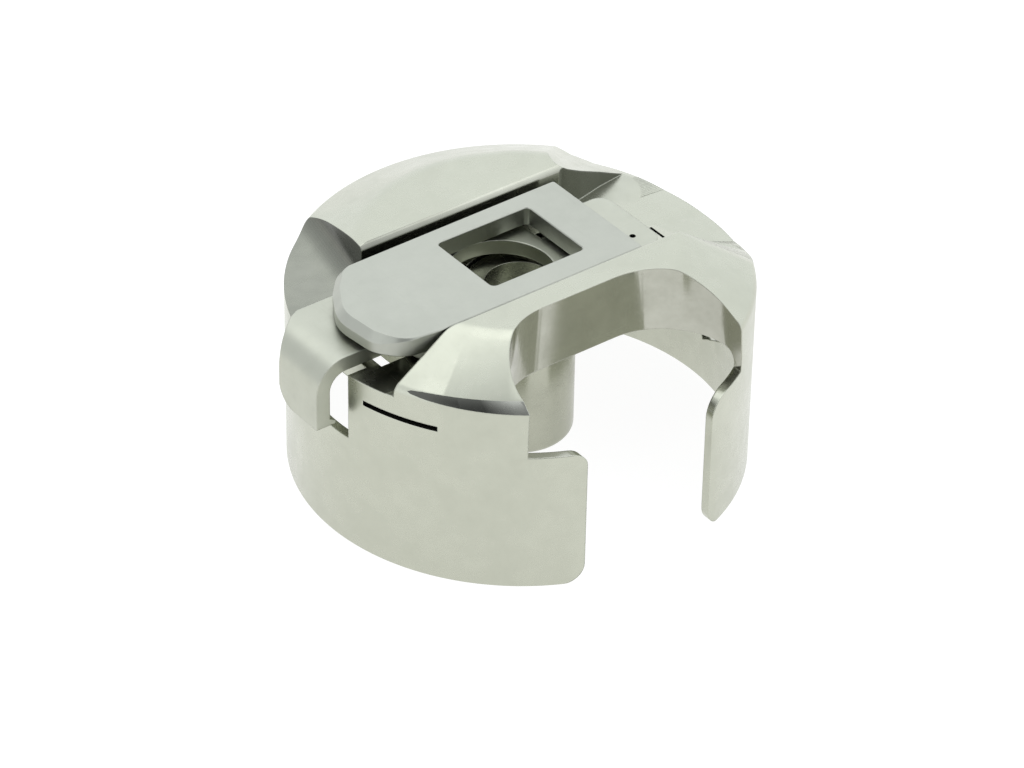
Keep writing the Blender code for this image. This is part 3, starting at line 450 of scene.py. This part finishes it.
def metal(
    name,
    colour,
    dull,
    roughness,
    grain=(1, 1, 1),
    grain_depth=0.15,
    round_grain=False,
    smudge=0.10,
    edge=0.12,
    side_painted_shade=None,
    claw_painted_shade=None,
    claw_span=(-7.0, 3.0),
):
    """A bare or plated steel with faint smudges, fine grain, hair scratches and pits.

    colour and dull are the clean and the smudged base, grain the scale of its lines along each
    axis in 1/mm, and edge the radius of the rounding in millimetres. Painted shade darkens faces
    by how steep they are, by the share given for the sides, and along X over claw_span, by the
    share given towards the claw.
    """
    n = Nodes(name)
    at = n.add("ShaderNodeTexCoord").outputs["Object"]
    mm = n.stretched(at, (1000, 1000, 1000))
    cloud = n.noise(mm, 0.16, 4.0, 0.6)
    blot = n.noise(mm, 0.75, 5.0, 0.62)
    if round_grain:
        x, y, z = n.xyz(mm)
        arc_length = n.maths("MULTIPLY", n.maths("ARCTAN2", y, x), 14.0)
        squares = n.maths("ADD", n.maths("MULTIPLY", x, x), n.maths("MULTIPLY", y, y))
        along = n.add(
            "ShaderNodeCombineXYZ", {0: arc_length, 1: n.maths("SQRT", squares), 2: z}
        ).outputs[0]
    else:
        along = mm
    grain_noise = n.noise(n.stretched(along, grain), 1.0, 3.0, 0.6)
    hair_at = n.stretched(mm, (9.0, 0.35, 6.0), (0.3, 0.2, 0.6))
    hair = n.remap(n.noise(hair_at, 1.0, 2.0, 0.5), 0.66, 0.72, 0.0, 1.0)
    hair_b_at = n.stretched(mm, (0.3, 7.0, 8.0), (0.1, 0.4, -0.35))
    hair_b = n.remap(n.noise(hair_b_at, 1.0, 2.0, 0.5), 0.67, 0.72, 0.0, 1.0)
    hairs = n.maths("ADD", hair, hair_b)
    pit = n.add("ShaderNodeTexVoronoi", {"Vector": mm, "Scale": 1.6, "Randomness": 1.0})
    pit_depth = n.remap(pit.outputs["Distance"], 0.015, 0.05, 1.0, 0.0)
    pit_rare = n.remap(n.noise(mm, 1.1, 1.0), 0.55, 0.62, 0.0, 1.0)
    pit_mask = n.maths("MULTIPLY", pit_depth, pit_rare)
    tone = n.maths("ADD", n.maths("MULTIPLY", cloud, 0.6), n.maths("MULTIPLY", blot, 0.4))
    shade = n.mix(n.remap(tone, 0.35, 0.65, 0.0, 1.0), (*colour, 1), (*dull, 1))
    pit_colour = (dull[0] * 0.5, dull[1] * 0.5, dull[2] * 0.48, 1)
    shade = n.mix(n.maths("MULTIPLY", pit_mask, 0.5), shade, pit_colour)
    # Painted shade: steep faces darken towards one colour, and faces darken along X towards another
    if side_painted_shade is not None:
        facing = n.xyz(n.add("ShaderNodeNewGeometry").outputs["True Normal"])[2]
        shade = n.mix(n.remap(facing, 0.2, 0.95, side_painted_shade, 0.0), shade, PAINTED_SIDE_SHADE)
    if claw_painted_shade is not None:
        shade = n.mix(n.remap(n.xyz(mm)[0], *claw_span, claw_painted_shade, 0.0), shade, PAINTED_CLAW_SHADE)
    n.link(shade, n.shader.inputs["Base Color"])
    rough = n.remap(tone, 0.32, 0.68, roughness - smudge * 0.5, roughness + smudge)
    grain_part = n.maths("MULTIPLY", n.maths("SUBTRACT", grain_noise, 0.5), 0.05)
    rough = n.maths("ADD", rough, grain_part)
    rough = n.maths("ADD", rough, n.maths("MULTIPLY", hairs, 0.08))
    n.link(rough, n.shader.inputs["Roughness"])
    height = n.maths("MULTIPLY", grain_noise, grain_depth)
    height = n.maths("SUBTRACT", height, n.maths("MULTIPLY", hairs, HAIR_DEPTH))
    height = n.maths("SUBTRACT", height, n.maths("MULTIPLY", pit_mask, PIT_DEPTH))
    height = n.maths("ADD", height, n.maths("MULTIPLY", cloud, RIPPLE_DEPTH))
    bump = n.add(
        "ShaderNodeBump", {"Height": height, "Strength": BUMP_STRENGTH, "Distance": BUMP_DEPTH}
    )
    bevel = n.add("ShaderNodeBevel", {"Radius": edge * MM}, samples=6)
    n.link(bevel.outputs[0], bump.inputs["Normal"])
    n.link(bump.outputs[0], n.shader.inputs["Normal"])
    n.shader.inputs["Metallic"].default_value = 1.0
    return n.material


# The plating of the wall, which the hinge's pocket shares but for painted shade on its steep sides
plating = {
    "colour": (0.52, 0.535, 0.45),
    "dull": (0.475, 0.49, 0.41),
    "roughness": 0.25,
    "grain": (1.2, 1.2, 0.12),
    "grain_depth": 0.06,
    "edge": 0.14,
}
PLATED = metal("plated_steel", **plating)
GROUND = metal(
    "ground_steel",
    (0.455, 0.47, 0.415),
    (0.42, 0.435, 0.385),
    0.34,
    grain=(0.4, 6.0, 6.0),
    grain_depth=0.25,
    edge=0.08,
)
TURNED = metal(
    "turned_steel",
    (0.43, 0.44, 0.36),
    (0.37, 0.38, 0.31),
    0.24,
    grain=(0.3, 8.0, 8.0),
    round_grain=True,
    grain_depth=0.3,
    edge=0.08,
)
POLISHED = metal(
    "polished_steel",
    (0.50, 0.505, 0.44),
    (0.40, 0.405, 0.345),
    0.10,
    grain=(0.5, 0.5, 9.0),
    grain_depth=0.3,
    smudge=0.07,
    edge=0.10,
)
# The channel's metal has painted shade on its steep sides and on its floor towards the claw
CHANNEL = metal(
    "channel_steel",
    (0.56, 0.57, 0.49),
    (0.50, 0.51, 0.43),
    0.22,
    grain=(5.0, 0.3, 5.0),
    grain_depth=0.4,
    side_painted_shade=0.5,
    claw_painted_shade=0.5,
    edge=0.10,
)
# The shoulder's darker base and the darkening of its steep faces are painted shade in the scoop
# behind the claw
PAINTED_SHADE_SHOULDER = metal(
    "shoulder_painted_shade",
    (0.32, 0.33, 0.28),
    (0.26, 0.27, 0.23),
    0.24,
    grain=(4.0, 0.3, 4.0),
    grain_depth=0.2,
    side_painted_shade=0.85,
)
# The pocket's steep sides get painted shade
POCKET = metal("pocket_steel", **plating, side_painted_shade=0.8)
# Painted reflection: the facet is dark towards the claw end, below x = -9.9 mm, and lighter towards
# the mouth as a painted highlight
PAINTED_FACET = metal(
    "facet_painted_reflection",
    (0.60, 0.61, 0.55),
    (0.48, 0.49, 0.44),
    0.20,
    grain=(0.4, 0.4, 6.0),
    claw_painted_shade=0.92,
    claw_span=(-9.9, -8.5),
    edge=0.05,
)
SATIN = metal(
    "satin_steel",
    (0.50, 0.515, 0.44),
    (0.45, 0.465, 0.395),
    0.34,
    grain=(0.4, 5.0, 5.0),
    grain_depth=0.2,
    edge=0.10,
)
# Near-black that stands for shadow in gaps, slots and holes, and on the brake spring in its slot
PAINTED_SHADOW = metal("painted_shadow_black", (0.10, 0.10, 0.09), (0.07, 0.07, 0.065), 0.4, edge=0.03)
SPRING = metal(
    "spring_steel", (0.55, 0.56, 0.53), (0.49, 0.50, 0.47), 0.26, grain=(0.3, 5.0, 5.0), edge=0.04
)
SCREW = metal(
    "screw_steel", (0.47, 0.48, 0.46), (0.40, 0.41, 0.39), 0.28, grain=(5.0, 5.0, 5.0), edge=0.05
)


# ---------------------------------------------------------------- case body


def cup():
    """The turned cup: flat top blended into the cone, rounded crease, thin wall, rounded rim."""
    slope = math.degrees(math.atan2(TOP_Z - CREASE_Z, WALL_RADIUS - TOP_RADIUS))
    blend, crease_round, rim_round, ceiling_round = 2.4, 0.75, 0.15, 0.8
    tangent = blend * math.tan(math.radians(slope) / 2)
    top = arc(TOP_RADIUS - tangent, TOP_Z - blend, blend, 90, 90 - slope, 8)
    tangent = crease_round * math.tan(math.radians(90 - slope) / 2)
    crease = arc(WALL_RADIUS - crease_round, CREASE_Z - tangent, crease_round, 90 - slope, 0, 8)
    rim = [
        *arc(WALL_RADIUS - rim_round, rim_round, rim_round, 0, -90, 4),
        *arc(INNER_RADIUS + rim_round, rim_round, rim_round, -90, -180, 4),
    ]
    ceiling = arc(
        INNER_RADIUS - ceiling_round, CEILING_Z - ceiling_round, ceiling_round, 0, 90, 6
    )
    return lathe([(0, TOP_Z), *top, *crease, *rim, *ceiling, (0, CEILING_Z)], 288)


def along_x(outline, x0, x1):
    """A solid with its outline given as (y, z), running along X."""
    obj = slab(outline, x0, x1, upright=True)
    obj.data.transform(Matrix.Rotation(math.radians(-90), 4, "Z") @ Matrix.Scale(-1, 4, (1, 0, 0)))
    bm = bmesh.new()
    bm.from_mesh(obj.data)
    bmesh.ops.recalc_face_normals(bm, faces=bm.faces)
    bm.to_mesh(obj.data)
    bm.free()
    return obj


def channel():
    """The straight channel across the top, its upper edges rounded outwards."""
    front, back = -4.87, 5.03
    front_flare, back_flare = 0.16, 0.38
    outline = [(front, FLOOR_Z), (back, FLOOR_Z)]
    outline += arc(back + back_flare, TOP_Z - back_flare, back_flare, 180, 90, 6)
    outline += [(back + back_flare, ABOVE), (front - front_flare, ABOVE)]
    outline += arc(front - front_flare, TOP_Z - front_flare, front_flare, 90, 0, 4)
    return finish_with(along_x(outline, -BEYOND, BEYOND), CHANNEL)


def claw_shoulder():
    """The step behind the claw, turned a little about its far end."""
    low = FLOOR_Z - 0.1
    step_x, turned_x, turned_y, turn = -8.1, -8.55, 5, -12
    outline = [
        (-BEYOND, low - 0.1, 0),
        (-12.8, low, 0),
        (step_x, low, 1.9),
        (step_x, ABOVE, 0),
        (-BEYOND, ABOVE, 0),
    ]
    obj = slab(rounded(outline), 2.5, BEYOND, upright=True)
    obj.data.transform(
        Matrix.Translation((turned_x, turned_y, 0))
        @ Matrix.Rotation(math.radians(turn), 4, "Z")
        @ Matrix.Translation((-step_x, -turned_y, 0))
    )
    return finish_with(obj, PAINTED_SHADE_SHOULDER)


def channel_flare(side):
    """A wedge that widens one end of the channel towards the front."""
    near, far = side * 9.0, side * 16.0
    outline = ((near, -4.8), (far, -5.75), (far, -4.0), (near, -4.0))
    return slab(outline, FLOOR_Z, ABOVE)


def hinge_pocket():
    """The wider end of the channel behind the hinge."""
    outline = [
        (6.1, 0, 0),
        (BEYOND, 0, 0),
        (BEYOND, 4.0, 0),
        (12.8, 5.85, 0.9),
        (10.6, 5.55, 3.0),
        (8.5, 5.06, 3.0),
        (7.0, 5.12, 0.5),
        (6.1, 4.62, 0.5),
    ]
    return finish_with(slab(rounded(outline), FLOOR_Z, ABOVE), POCKET)


# The dip of the rim at the hinge end: angle, height at the wall, slope inwards
RIM_DIP = (
    (46, 13.6, CONE_SLOPE),
    (40, 12.8, CONE_SLOPE),
    (34, 12.42, CONE_SLOPE),
    (28, 12.36, 0.52),
    (22, 12.28, 0.48),
    (14, 12.07, 0.25),
    (0, 11.96, 0.18),
    (-14, 12.0, 0.22),
    (-22, 12.53, 0.50),
    (-30, 13.15, CONE_SLOPE),
    (-36, 13.55, CONE_SLOPE),
)
RIM_DIP_REACH = 6.5
RIM_DIP_STEPS = 14


def top_cuts():
    """All that is cut from the top of the cup."""
    # A thin groove beyond the slide's tail, painted black as the shadow of a gap
    shadow_gap = box(10.15, 10.33, -1.7, -0.1, FLOOR_Z - 0.3, ABOVE)
    return [
        channel(),
        claw_shoulder(),
        channel_flare(-1),
        channel_flare(1),
        hinge_pocket(),
        finish_with(shadow_gap, PAINTED_SHADOW),
        rim_cut(RIM_DIP, RIM_DIP_REACH, RIM_DIP_STEPS),
    ]


def crescent():
    """The facet ground along the crease beside the mouth, its metal a painted reflection: dark at
    its claw end, brightening to a painted highlight towards the mouth.
    """
    start, sweep, pieces = -157, 41, 18
    outer = WALL_RADIUS + 1.0
    rows = []
    for i in range(pieces + 1):
        share = i / pieces
        angle = start + sweep * share
        width = 0.22 + 0.38 * math.sin(math.radians(90 * share)) ** 0.8
        inner = WALL_RADIUS - width
        rows.append(
            [
                radial(angle, WALL_RADIUS + 0.02, CREASE_Z - 0.08 - 0.5 * width),
                radial(angle, outer, CREASE_Z + 0.07 - 0.5 * width),
                radial(angle, outer, ABOVE),
                radial(angle, inner, CREASE_Z + width * CONE_SLOPE + 0.35),
                radial(angle, inner, CREASE_Z + width * CONE_SLOPE),
            ]
        )
    return finish_with(grid_solid(rows), PAINTED_FACET)


def arch():
    """The mouth's upper part, wider and squarer below than above."""

    def outline(left, right, back, corner=5.0):
        corners = [
            (left, -BEYOND, 0),
            (right, -BEYOND, 0),
            (right, back, corner),
            (left, back, corner),
        ]
        return rounded(corners, 4.0)

    low = outline(-8.45, 7.6, -6.35)
    high = outline(-8.35, 7.1, -6.62)
    rows = []
    for z in (WING_TOP, CEILING_Z, TOP_Z, ABOVE):
        share = max(0.0, (z - CEILING_Z) / (TOP_Z - CEILING_Z))
        rows.append(
            [(a.x + (b.x - a.x) * share, a.y + (b.y - a.y) * share, z) for a, b in zip(low, high)]
        )
    return finish_with(grid_solid(rows), POLISHED)


def wing_gap():
    """The gap between the wings, which runs up into the arch."""
    left, right, top = -5.22, 4.15, WING_TOP + 0.5
    big, small = 1.5, 0.8
    outline = [
        *arc(left - big, big, big, -90, 0, 8),
        *arc(left - small, WING_TOP - small, small, 0, 90, 6),
        (left - small, top),
        (right + big, top),
        *arc(right + big, WING_TOP - big, big, 90, 180, 8),
        *arc(right + big, big, big, 180, 270, 8),
        (right + big, -1),
        (left - big, -1),
    ]
    return slab(outline, -BEYOND, -TOP_RADIUS, upright=True)


def room_for_moving_parts():
    """The notch and way of the claw, the hole of the stud, and the pits of the latch's lugs."""
    below_ceiling = CEILING_Z - 1
    lug_pit = LATCH_TOP - HINGE_DROP - LUG_REACH - 0.3
    groove_middle = FLOOR_Z + 0.25
    return [
        box(-BEYOND, -13.2, -2.0, 3.93, 8.0, ABOVE),
        box(-12.4, -10.3, -2.45, 2.45, below_ceiling, ABOVE),
        rod(3.7, (0, 0, below_ceiling), (0, 0, ABOVE), 96),
        box(3.85, 5.85, 1.45, 3.55, lug_pit, ABOVE),
        box(3.85, 5.85, -3.55, -1.45, lug_pit, ABOVE),
        box(-9.6, -5.0, GROOVE_LOW_Y, GROOVE_HIGH_Y, groove_middle - 0.65, ABOVE),
    ]


def room_for_brake_spring():
    """The recess of the brake spring: its ring, its two arms with their slots, and its tongue."""
    low, high = CEILING_Z - 0.4, CEILING_Z + 0.55
    made = [slab(circle(5.7), low, high)]
    for turn in (0.0, 180.0):
        arm = Matrix.Rotation(math.radians(-157.05 + turn), 4, "Z")
        made.append(box(0, 13.6, -1.9, 1.9, low, high, arm))
        # Each slot's cutter paints its faces black as painted shadow inside the slot
        slot = sector(13.0, BEYOND, -167.3 + turn, -146.8 + turn)
        made.append(finish_with(slab(slot, CEILING_Z + 0.2, high), PAINTED_SHADOW))
    made.append(box(-1.4, 1.4, 0, 9.3, low, high))
    return made


SLIT_WIDTH = 0.45
INSIDE_WALL = 13.1


def slit(path):
    """A thread slit through the wall along a path of (angle, z)."""
    points = [Vector((math.radians(a) * WALL_RADIUS, z)) for a, z in between(path, 6)]
    rows = []
    for i, point in enumerate(points):
        before = points[i] - points[i - 1] if i else points[1] - points[0]
        after = points[i + 1] - points[i] if i + 1 < len(points) else before
        along = (before.normalized() + after.normalized()).normalized()
        across = Vector((-along.y, along.x)) * SLIT_WIDTH / 2
        across /= max(0.7, along.dot(after.normalized()))
        low, high = point - across, point + across
        low_angle = math.degrees(low.x / WALL_RADIUS)
        high_angle = math.degrees(high.x / WALL_RADIUS)
        rows.append(
            [
                radial(low_angle, INSIDE_WALL, low.y),
                radial(low_angle, OUTSIDE_WALL, low.y),
                radial(high_angle, OUTSIDE_WALL, high.y),
                radial(high_angle, INSIDE_WALL, high.y),
            ]
        )
    return grid_solid(rows)


def wall_cuts():
    """The thread slit's two runs and the holes of both tension screws."""
    made = [slit([(-4.7, 3.35), (-27, 6.2)]), slit([(-26.6, 6.3), (-35, -1.0)])]
    for angle in (14.0, 42.0):
        made.append(rod(0.85, radial(angle, INSIDE_WALL, 3.7), radial(angle, 15.7, 3.7), 40))
    return made


body = finish_with(cup(), PLATED)
cut(body, *top_cuts())
cut(body, arch(), wing_gap(), crescent())
cut(body, *room_for_moving_parts(), *room_for_brake_spring())
cut(body, *wall_cuts())
place(body, "cup", PLATED, "case", ["case_body"])


# ---------------------------------------------------------------- centre tube


tube = lathe(
    [
        (2.25, FLOOR_Z - 0.15),
        *arc(3.45, FLOOR_Z - 0.25, 0.1, 90, 0, 3),
        *arc(3.05, 2.2, 0.5, 0, -90, 8),
        *arc(2.45, 1.9, 0.2, -90, -180, 4),
    ],
    128,
)
place(tube, "tube", TURNED, "case", ["centre_tube"])

# ---------------------------------------------------------------- slide with its claw

STUD_HOLE_RADIUS = 3.38
STUD_HOLE_X = -1.49


def claw():
    """The bent end of the slide, its tip chamfered and its far corner cut off and rounded."""
    bend_x, bend_outer, bend_inner = -14.6, 2.2, 1.2
    root_x, far_y = -13.1, 3.9
    centre = SLIDE_TOP - bend_outer
    tip_z = SLIDE_TOP - 4.6
    over = arc(bend_x, centre, bend_outer, 90, 180, 16)
    under = arc(bend_x, centre, bend_inner, 180, 90, 12)
    inner_face = bend_x - bend_inner
    tip = [
        (bend_x - bend_outer, tip_z),
        (inner_face + 0.42, tip_z),
        (inner_face + 0.42, tip_z + 0.22),
        (inner_face, tip_z + 0.45),
    ]
    profile = [(root_x, SLIDE_TOP), *over, *tip, *under, (root_x, SLIDE_BOTTOM)]
    made = slab(profile, -1.85, far_y, upright=True)
    corner = [
        (-14.2, 4.5),
        (-14.2, far_y),
        (-14.9, 3.55),
        (-15.7, 2.95),
        (-16.3, 2.5),
        (-16.9, 2.0),
        (-18, 1.3),
        (-18, 4.5),
    ]
    rounding = [
        (3.2, tip_z - 0.5),
        (3.2, tip_z + 2.6),
        *arc(0.6, tip_z + 1.5, 1.5, 0, -90, 8)[1:],
        (0.6, tip_z - 0.5),
    ]
    return cut(made, slab(corner, 8, 16), along_x(rounding, -18, -14))


def slide_plate():
    """The plate with its stud hole, the knuckle of the hinge and the claw."""
    outline = [
        (8.9, -3.1, 1.0),
        (8.9, 3.1, 1.0),
        (6.47, 3.1, 0),
        (6.47, 1.3, 0),
        (2.6, 1.3, 0),
        (2.6, 4.2, 0.5),
        (-10.5, 4.2, 0.2),
        (-10.5, 3.9, 0),
        (-13.6, 3.9, 0),
        (-13.6, -1.85, 0),
        (-10.5, -1.85, 0.3),
        (-10.5, -4.2, 1.5),
        (2.6, -4.2, 0.5),
        (2.6, -1.3, 0),
        (6.47, -1.3, 0),
        (6.47, -3.1, 0),
    ]
    stud_hole = circle(STUD_HOLE_RADIUS, STUD_HOLE_X)
    plate = slab(rounded(outline), SLIDE_BOTTOM, SLIDE_TOP, holes=[stud_hole])
    knuckle, half = 0.62, 1.3
    join(
        plate,
        box(HINGE.x - knuckle, HINGE.x + knuckle, -half, half, SLIDE_BOTTOM + 0.5, HINGE.z),
        rod(knuckle, (HINGE.x, -half, HINGE.z), (HINGE.x, half, HINGE.z), 48),
        claw(),
    )
    finish_with(plate, SATIN)
    # A small hole near the tail, painted black as the shadow inside it
    shadow_hole = rod(0.2, (7.5, -1.7, SLIDE_TOP - 0.5), (7.5, -1.7, SLIDE_TOP + 1), 24)
    cut(
        plate,
        rod(PIN_BORE, (HINGE.x, -5, HINGE.z), (HINGE.x, 5, HINGE.z), 48),
        box(HINGE.x + 0.67, 6.57, -4.2, 4.2, SLIDE_TOP - 0.5, SLIDE_TOP + 0.3),
        box(-9.45, -5.0, GROOVE_LOW_Y, GROOVE_HIGH_Y, SLIDE_BOTTOM - 1, FLOOR_Z + 0.9),
        finish_with(shadow_hole, PAINTED_SHADOW),
    )
    return plate


place(slide_plate(), "slide", SATIN, "slide", ["latch_slide"])


# ---------------------------------------------------------------- latch lever


def share_between(value, start, end):
    """How far a value lies from start to end, held between 0 and 1."""
    return max(0.0, min(1.0, (value - start) / (end - start)))


def lever_top_edge(p):
    """The chamfer of the latch's top, wide round its free end and fine elsewhere."""
    wide = share_between(-p.x, 9.0, 11.5) * share_between(p.y, -4.6, -3.1)
    return 0.07 + 0.36 * wide, 0.07 + 0.50 * wide


def lever():
    """The latch with its window, and under its hinge end two lugs either side of the knuckle."""
    outline = rounded(
        [
            (5.83, -4.75, 0.2),
            (5.83, 4.3, 0.2),
            (-10.95, 4.3, 1.9),
            (-12.35, 2.75, 3.2),
            (-13.7, 0.4, 3.2),
            (-13.35, -2.9, 2.2),
            (-12.0, -4.5, 2.2),
            (-9.6, -4.75, 3.0),
        ],
        5.0,
    )
    left, right, half, corner = -4.35, 2.71, 2.9, 0.35
    window = rounded(
        [
            (left, -half, corner),
            (right, -half, corner),
            (right, half, corner),
            (left, half, corner),
        ],
        15.0,
    )
    plate = slab(
        outline,
        LATCH_TOP - LATCH_THICK,
        LATCH_TOP,
        holes=[window],
        top_edge=lever_top_edge,
        bottom_edge=lambda p: (0.06, 0.06),
    )
    finish_with(plate, GROUND)
    lugs = []
    for side in (1, -1):
        y0, y1 = sorted((side * 1.6, side * 3.4))
        lugs.append(rod(0.8, (HINGE.x, y0, HINGE.z), (HINGE.x, y1, HINGE.z), 56))
        low = HINGE.z - LUG_REACH
        lugs.append(box(HINGE.x - 0.6, HINGE.x + 0.6, y0, y1, low, LATCH_TOP - 0.6))
    join(plate, *lugs)
    cut(
        plate,
        box(HINGE.x - 1.02, 7.0, -1.45, 1.45, LATCH_TOP - 2.5, HINGE.z + 0.77),
        rod(PIN_BORE, (HINGE.x, -3.42, HINGE.z), (HINGE.x, 3.42, HINGE.z), 48),
    )
    return plate


place(lever(), "latch", GROUND, "latch", ["latch_lever"])

# ---------------------------------------------------------------- pieces kept from the frame

for node, look in (
    ("latch_hinge_pin", TURNED),
    ("slide_return_spring", SPRING),
    # The brake spring is painted black as the shadow of the slot it sits in
    ("brake_spring", PAINTED_SHADOW),
    ("tension_spring", SPRING),
    ("tension_adjusting_screw", SCREW),
    ("tension_spring_screw", SCREW),
):
    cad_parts[node].data.materials.clear()
    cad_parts[node].data.materials.append(look)


# ---------------------------------------------------------------- studio


# Dim patches of the room: azimuth, elevation, angles where each starts and is full, its light
DIM_PATCHES = ((-128, 34, 42, 14, 0.2), (133, 24, 40, 12, 0.72))
ROOM_COLOUR = (1.23, 1.26, 1.30)
FLOOR_GLOW = 0.94
FLOOR_HALF = 3.0
FLOOR_GAP = 0.02 * MM


def direction(azimuth, elevation):
    """The unit vector towards an azimuth and an elevation in degrees."""
    a, e = math.radians(azimuth), math.radians(elevation)
    return math.cos(a) * math.cos(e), math.sin(a) * math.cos(e), math.sin(e)


def lay_floor():
    """A white floor that glows, so that it looks even."""
    bm = bmesh.new()
    bmesh.ops.create_grid(bm, x_segments=1, y_segments=1, size=FLOOR_HALF)
    mesh = bpy.data.meshes.new("floor")
    bm.to_mesh(mesh)
    bm.free()
    floor = bpy.data.objects.new("floor", mesh)
    bpy.context.scene.collection.objects.link(floor)
    floor.location.z = -FLOOR_GAP
    white = bpy.data.materials.new("white_floor")
    white.use_nodes = True
    shader = white.node_tree.nodes["Principled BSDF"]
    shader.inputs["Base Color"].default_value = (0.2, 0.2, 0.2, 1)
    shader.inputs["Roughness"].default_value = 0.9
    shader.inputs["Specular IOR Level"].default_value = 0.0
    shader.inputs["Emission Color"].default_value = (1.0, 1.0, 1.0, 1)
    shader.inputs["Emission Strength"].default_value = FLOOR_GLOW
    mesh.materials.append(white)


def room():
    """A bright room with two dim patches for the metal to mirror."""
    world = bpy.data.worlds.new("studio")
    bpy.context.scene.world = world
    world.use_nodes = True
    nodes, links = world.node_tree.nodes, world.node_tree.links
    back = nodes["Background"]
    back.inputs["Strength"].default_value = 1.0
    towards = nodes.new("ShaderNodeTexCoord").outputs["Generated"]
    fades = []
    for azimuth, elevation, near, far, least in DIM_PATCHES:
        dot = nodes.new("ShaderNodeVectorMath")
        dot.operation = "DOT_PRODUCT"
        links.new(towards, dot.inputs[0])
        dot.inputs[1].default_value = direction(azimuth, elevation)
        fade = nodes.new("ShaderNodeMapRange")
        fade.interpolation_type = "SMOOTHSTEP"
        links.new(dot.outputs["Value"], fade.inputs[0])
        fade.inputs[1].default_value = math.cos(math.radians(near))
        fade.inputs[2].default_value = math.cos(math.radians(far))
        fade.inputs[3].default_value = 1.0
        fade.inputs[4].default_value = least
        fades.append(fade.outputs[0])
    both = nodes.new("ShaderNodeMath")
    both.operation = "MULTIPLY"
    links.new(fades[0], both.inputs[0])
    links.new(fades[1], both.inputs[1])
    tint = nodes.new("ShaderNodeVectorMath")
    tint.operation = "SCALE"
    tint.inputs[0].default_value = ROOM_COLOUR
    links.new(both.outputs[0], tint.inputs["Scale"])
    links.new(tint.outputs[0], back.inputs["Color"])


def softbox(name, at, size, power):
    """A square light that faces the part."""
    light = bpy.data.lights.new(name, "AREA")
    light.shape = "RECTANGLE"
    light.size, light.size_y = size
    light.energy = power
    obj = bpy.data.objects.new(name, light)
    obj.location = at
    obj.rotation_euler = (-Vector(at)).to_track_quat("-Z", "Y").to_euler()
    bpy.context.scene.collection.objects.link(obj)


lay_floor()
room()
softbox("top_light", (0.05, 0.25, 0.7), (0.7, 0.5), 0.62)
softbox("left_light", (-0.65, 0.05, 0.35), (0.5, 0.5), 0.08)
bpy.context.scene.view_settings.view_transform = "Standard"
bpy.context.scene.view_settings.look = "None"


def camera():
    """The viewpoint: a long lens from the left front, 35 degrees up."""
    azimuth, elevation, roll = -127.76, 35.38, 1.13
    distance, target_z = 286, 7
    back = Vector(direction(azimuth, elevation))
    right = Vector((-math.sin(math.radians(azimuth)), math.cos(math.radians(azimuth)), 0))
    up = back.cross(right)
    turned = Matrix.Rotation(math.radians(roll), 3, back)
    right, up = turned @ right, turned @ up
    data = bpy.data.cameras.new("camera")
    data.sensor_width = 36.0
    data.lens = 159.75
    data.shift_x = -0.0067
    data.shift_y = -0.02845
    obj = bpy.data.objects.new("camera", data)
    at = AXIS + Vector((0, 0, target_z * MM)) + back * distance * MM
    obj.matrix_world = Matrix(
        (
            (right.x, up.x, back.x, at.x),
            (right.y, up.y, back.y, at.y),
            (right.z, up.z, back.z, at.z),
            (0, 0, 0, 1),
        )
    )
    bpy.context.scene.collection.objects.link(obj)
    bpy.context.scene.camera = obj


camera()
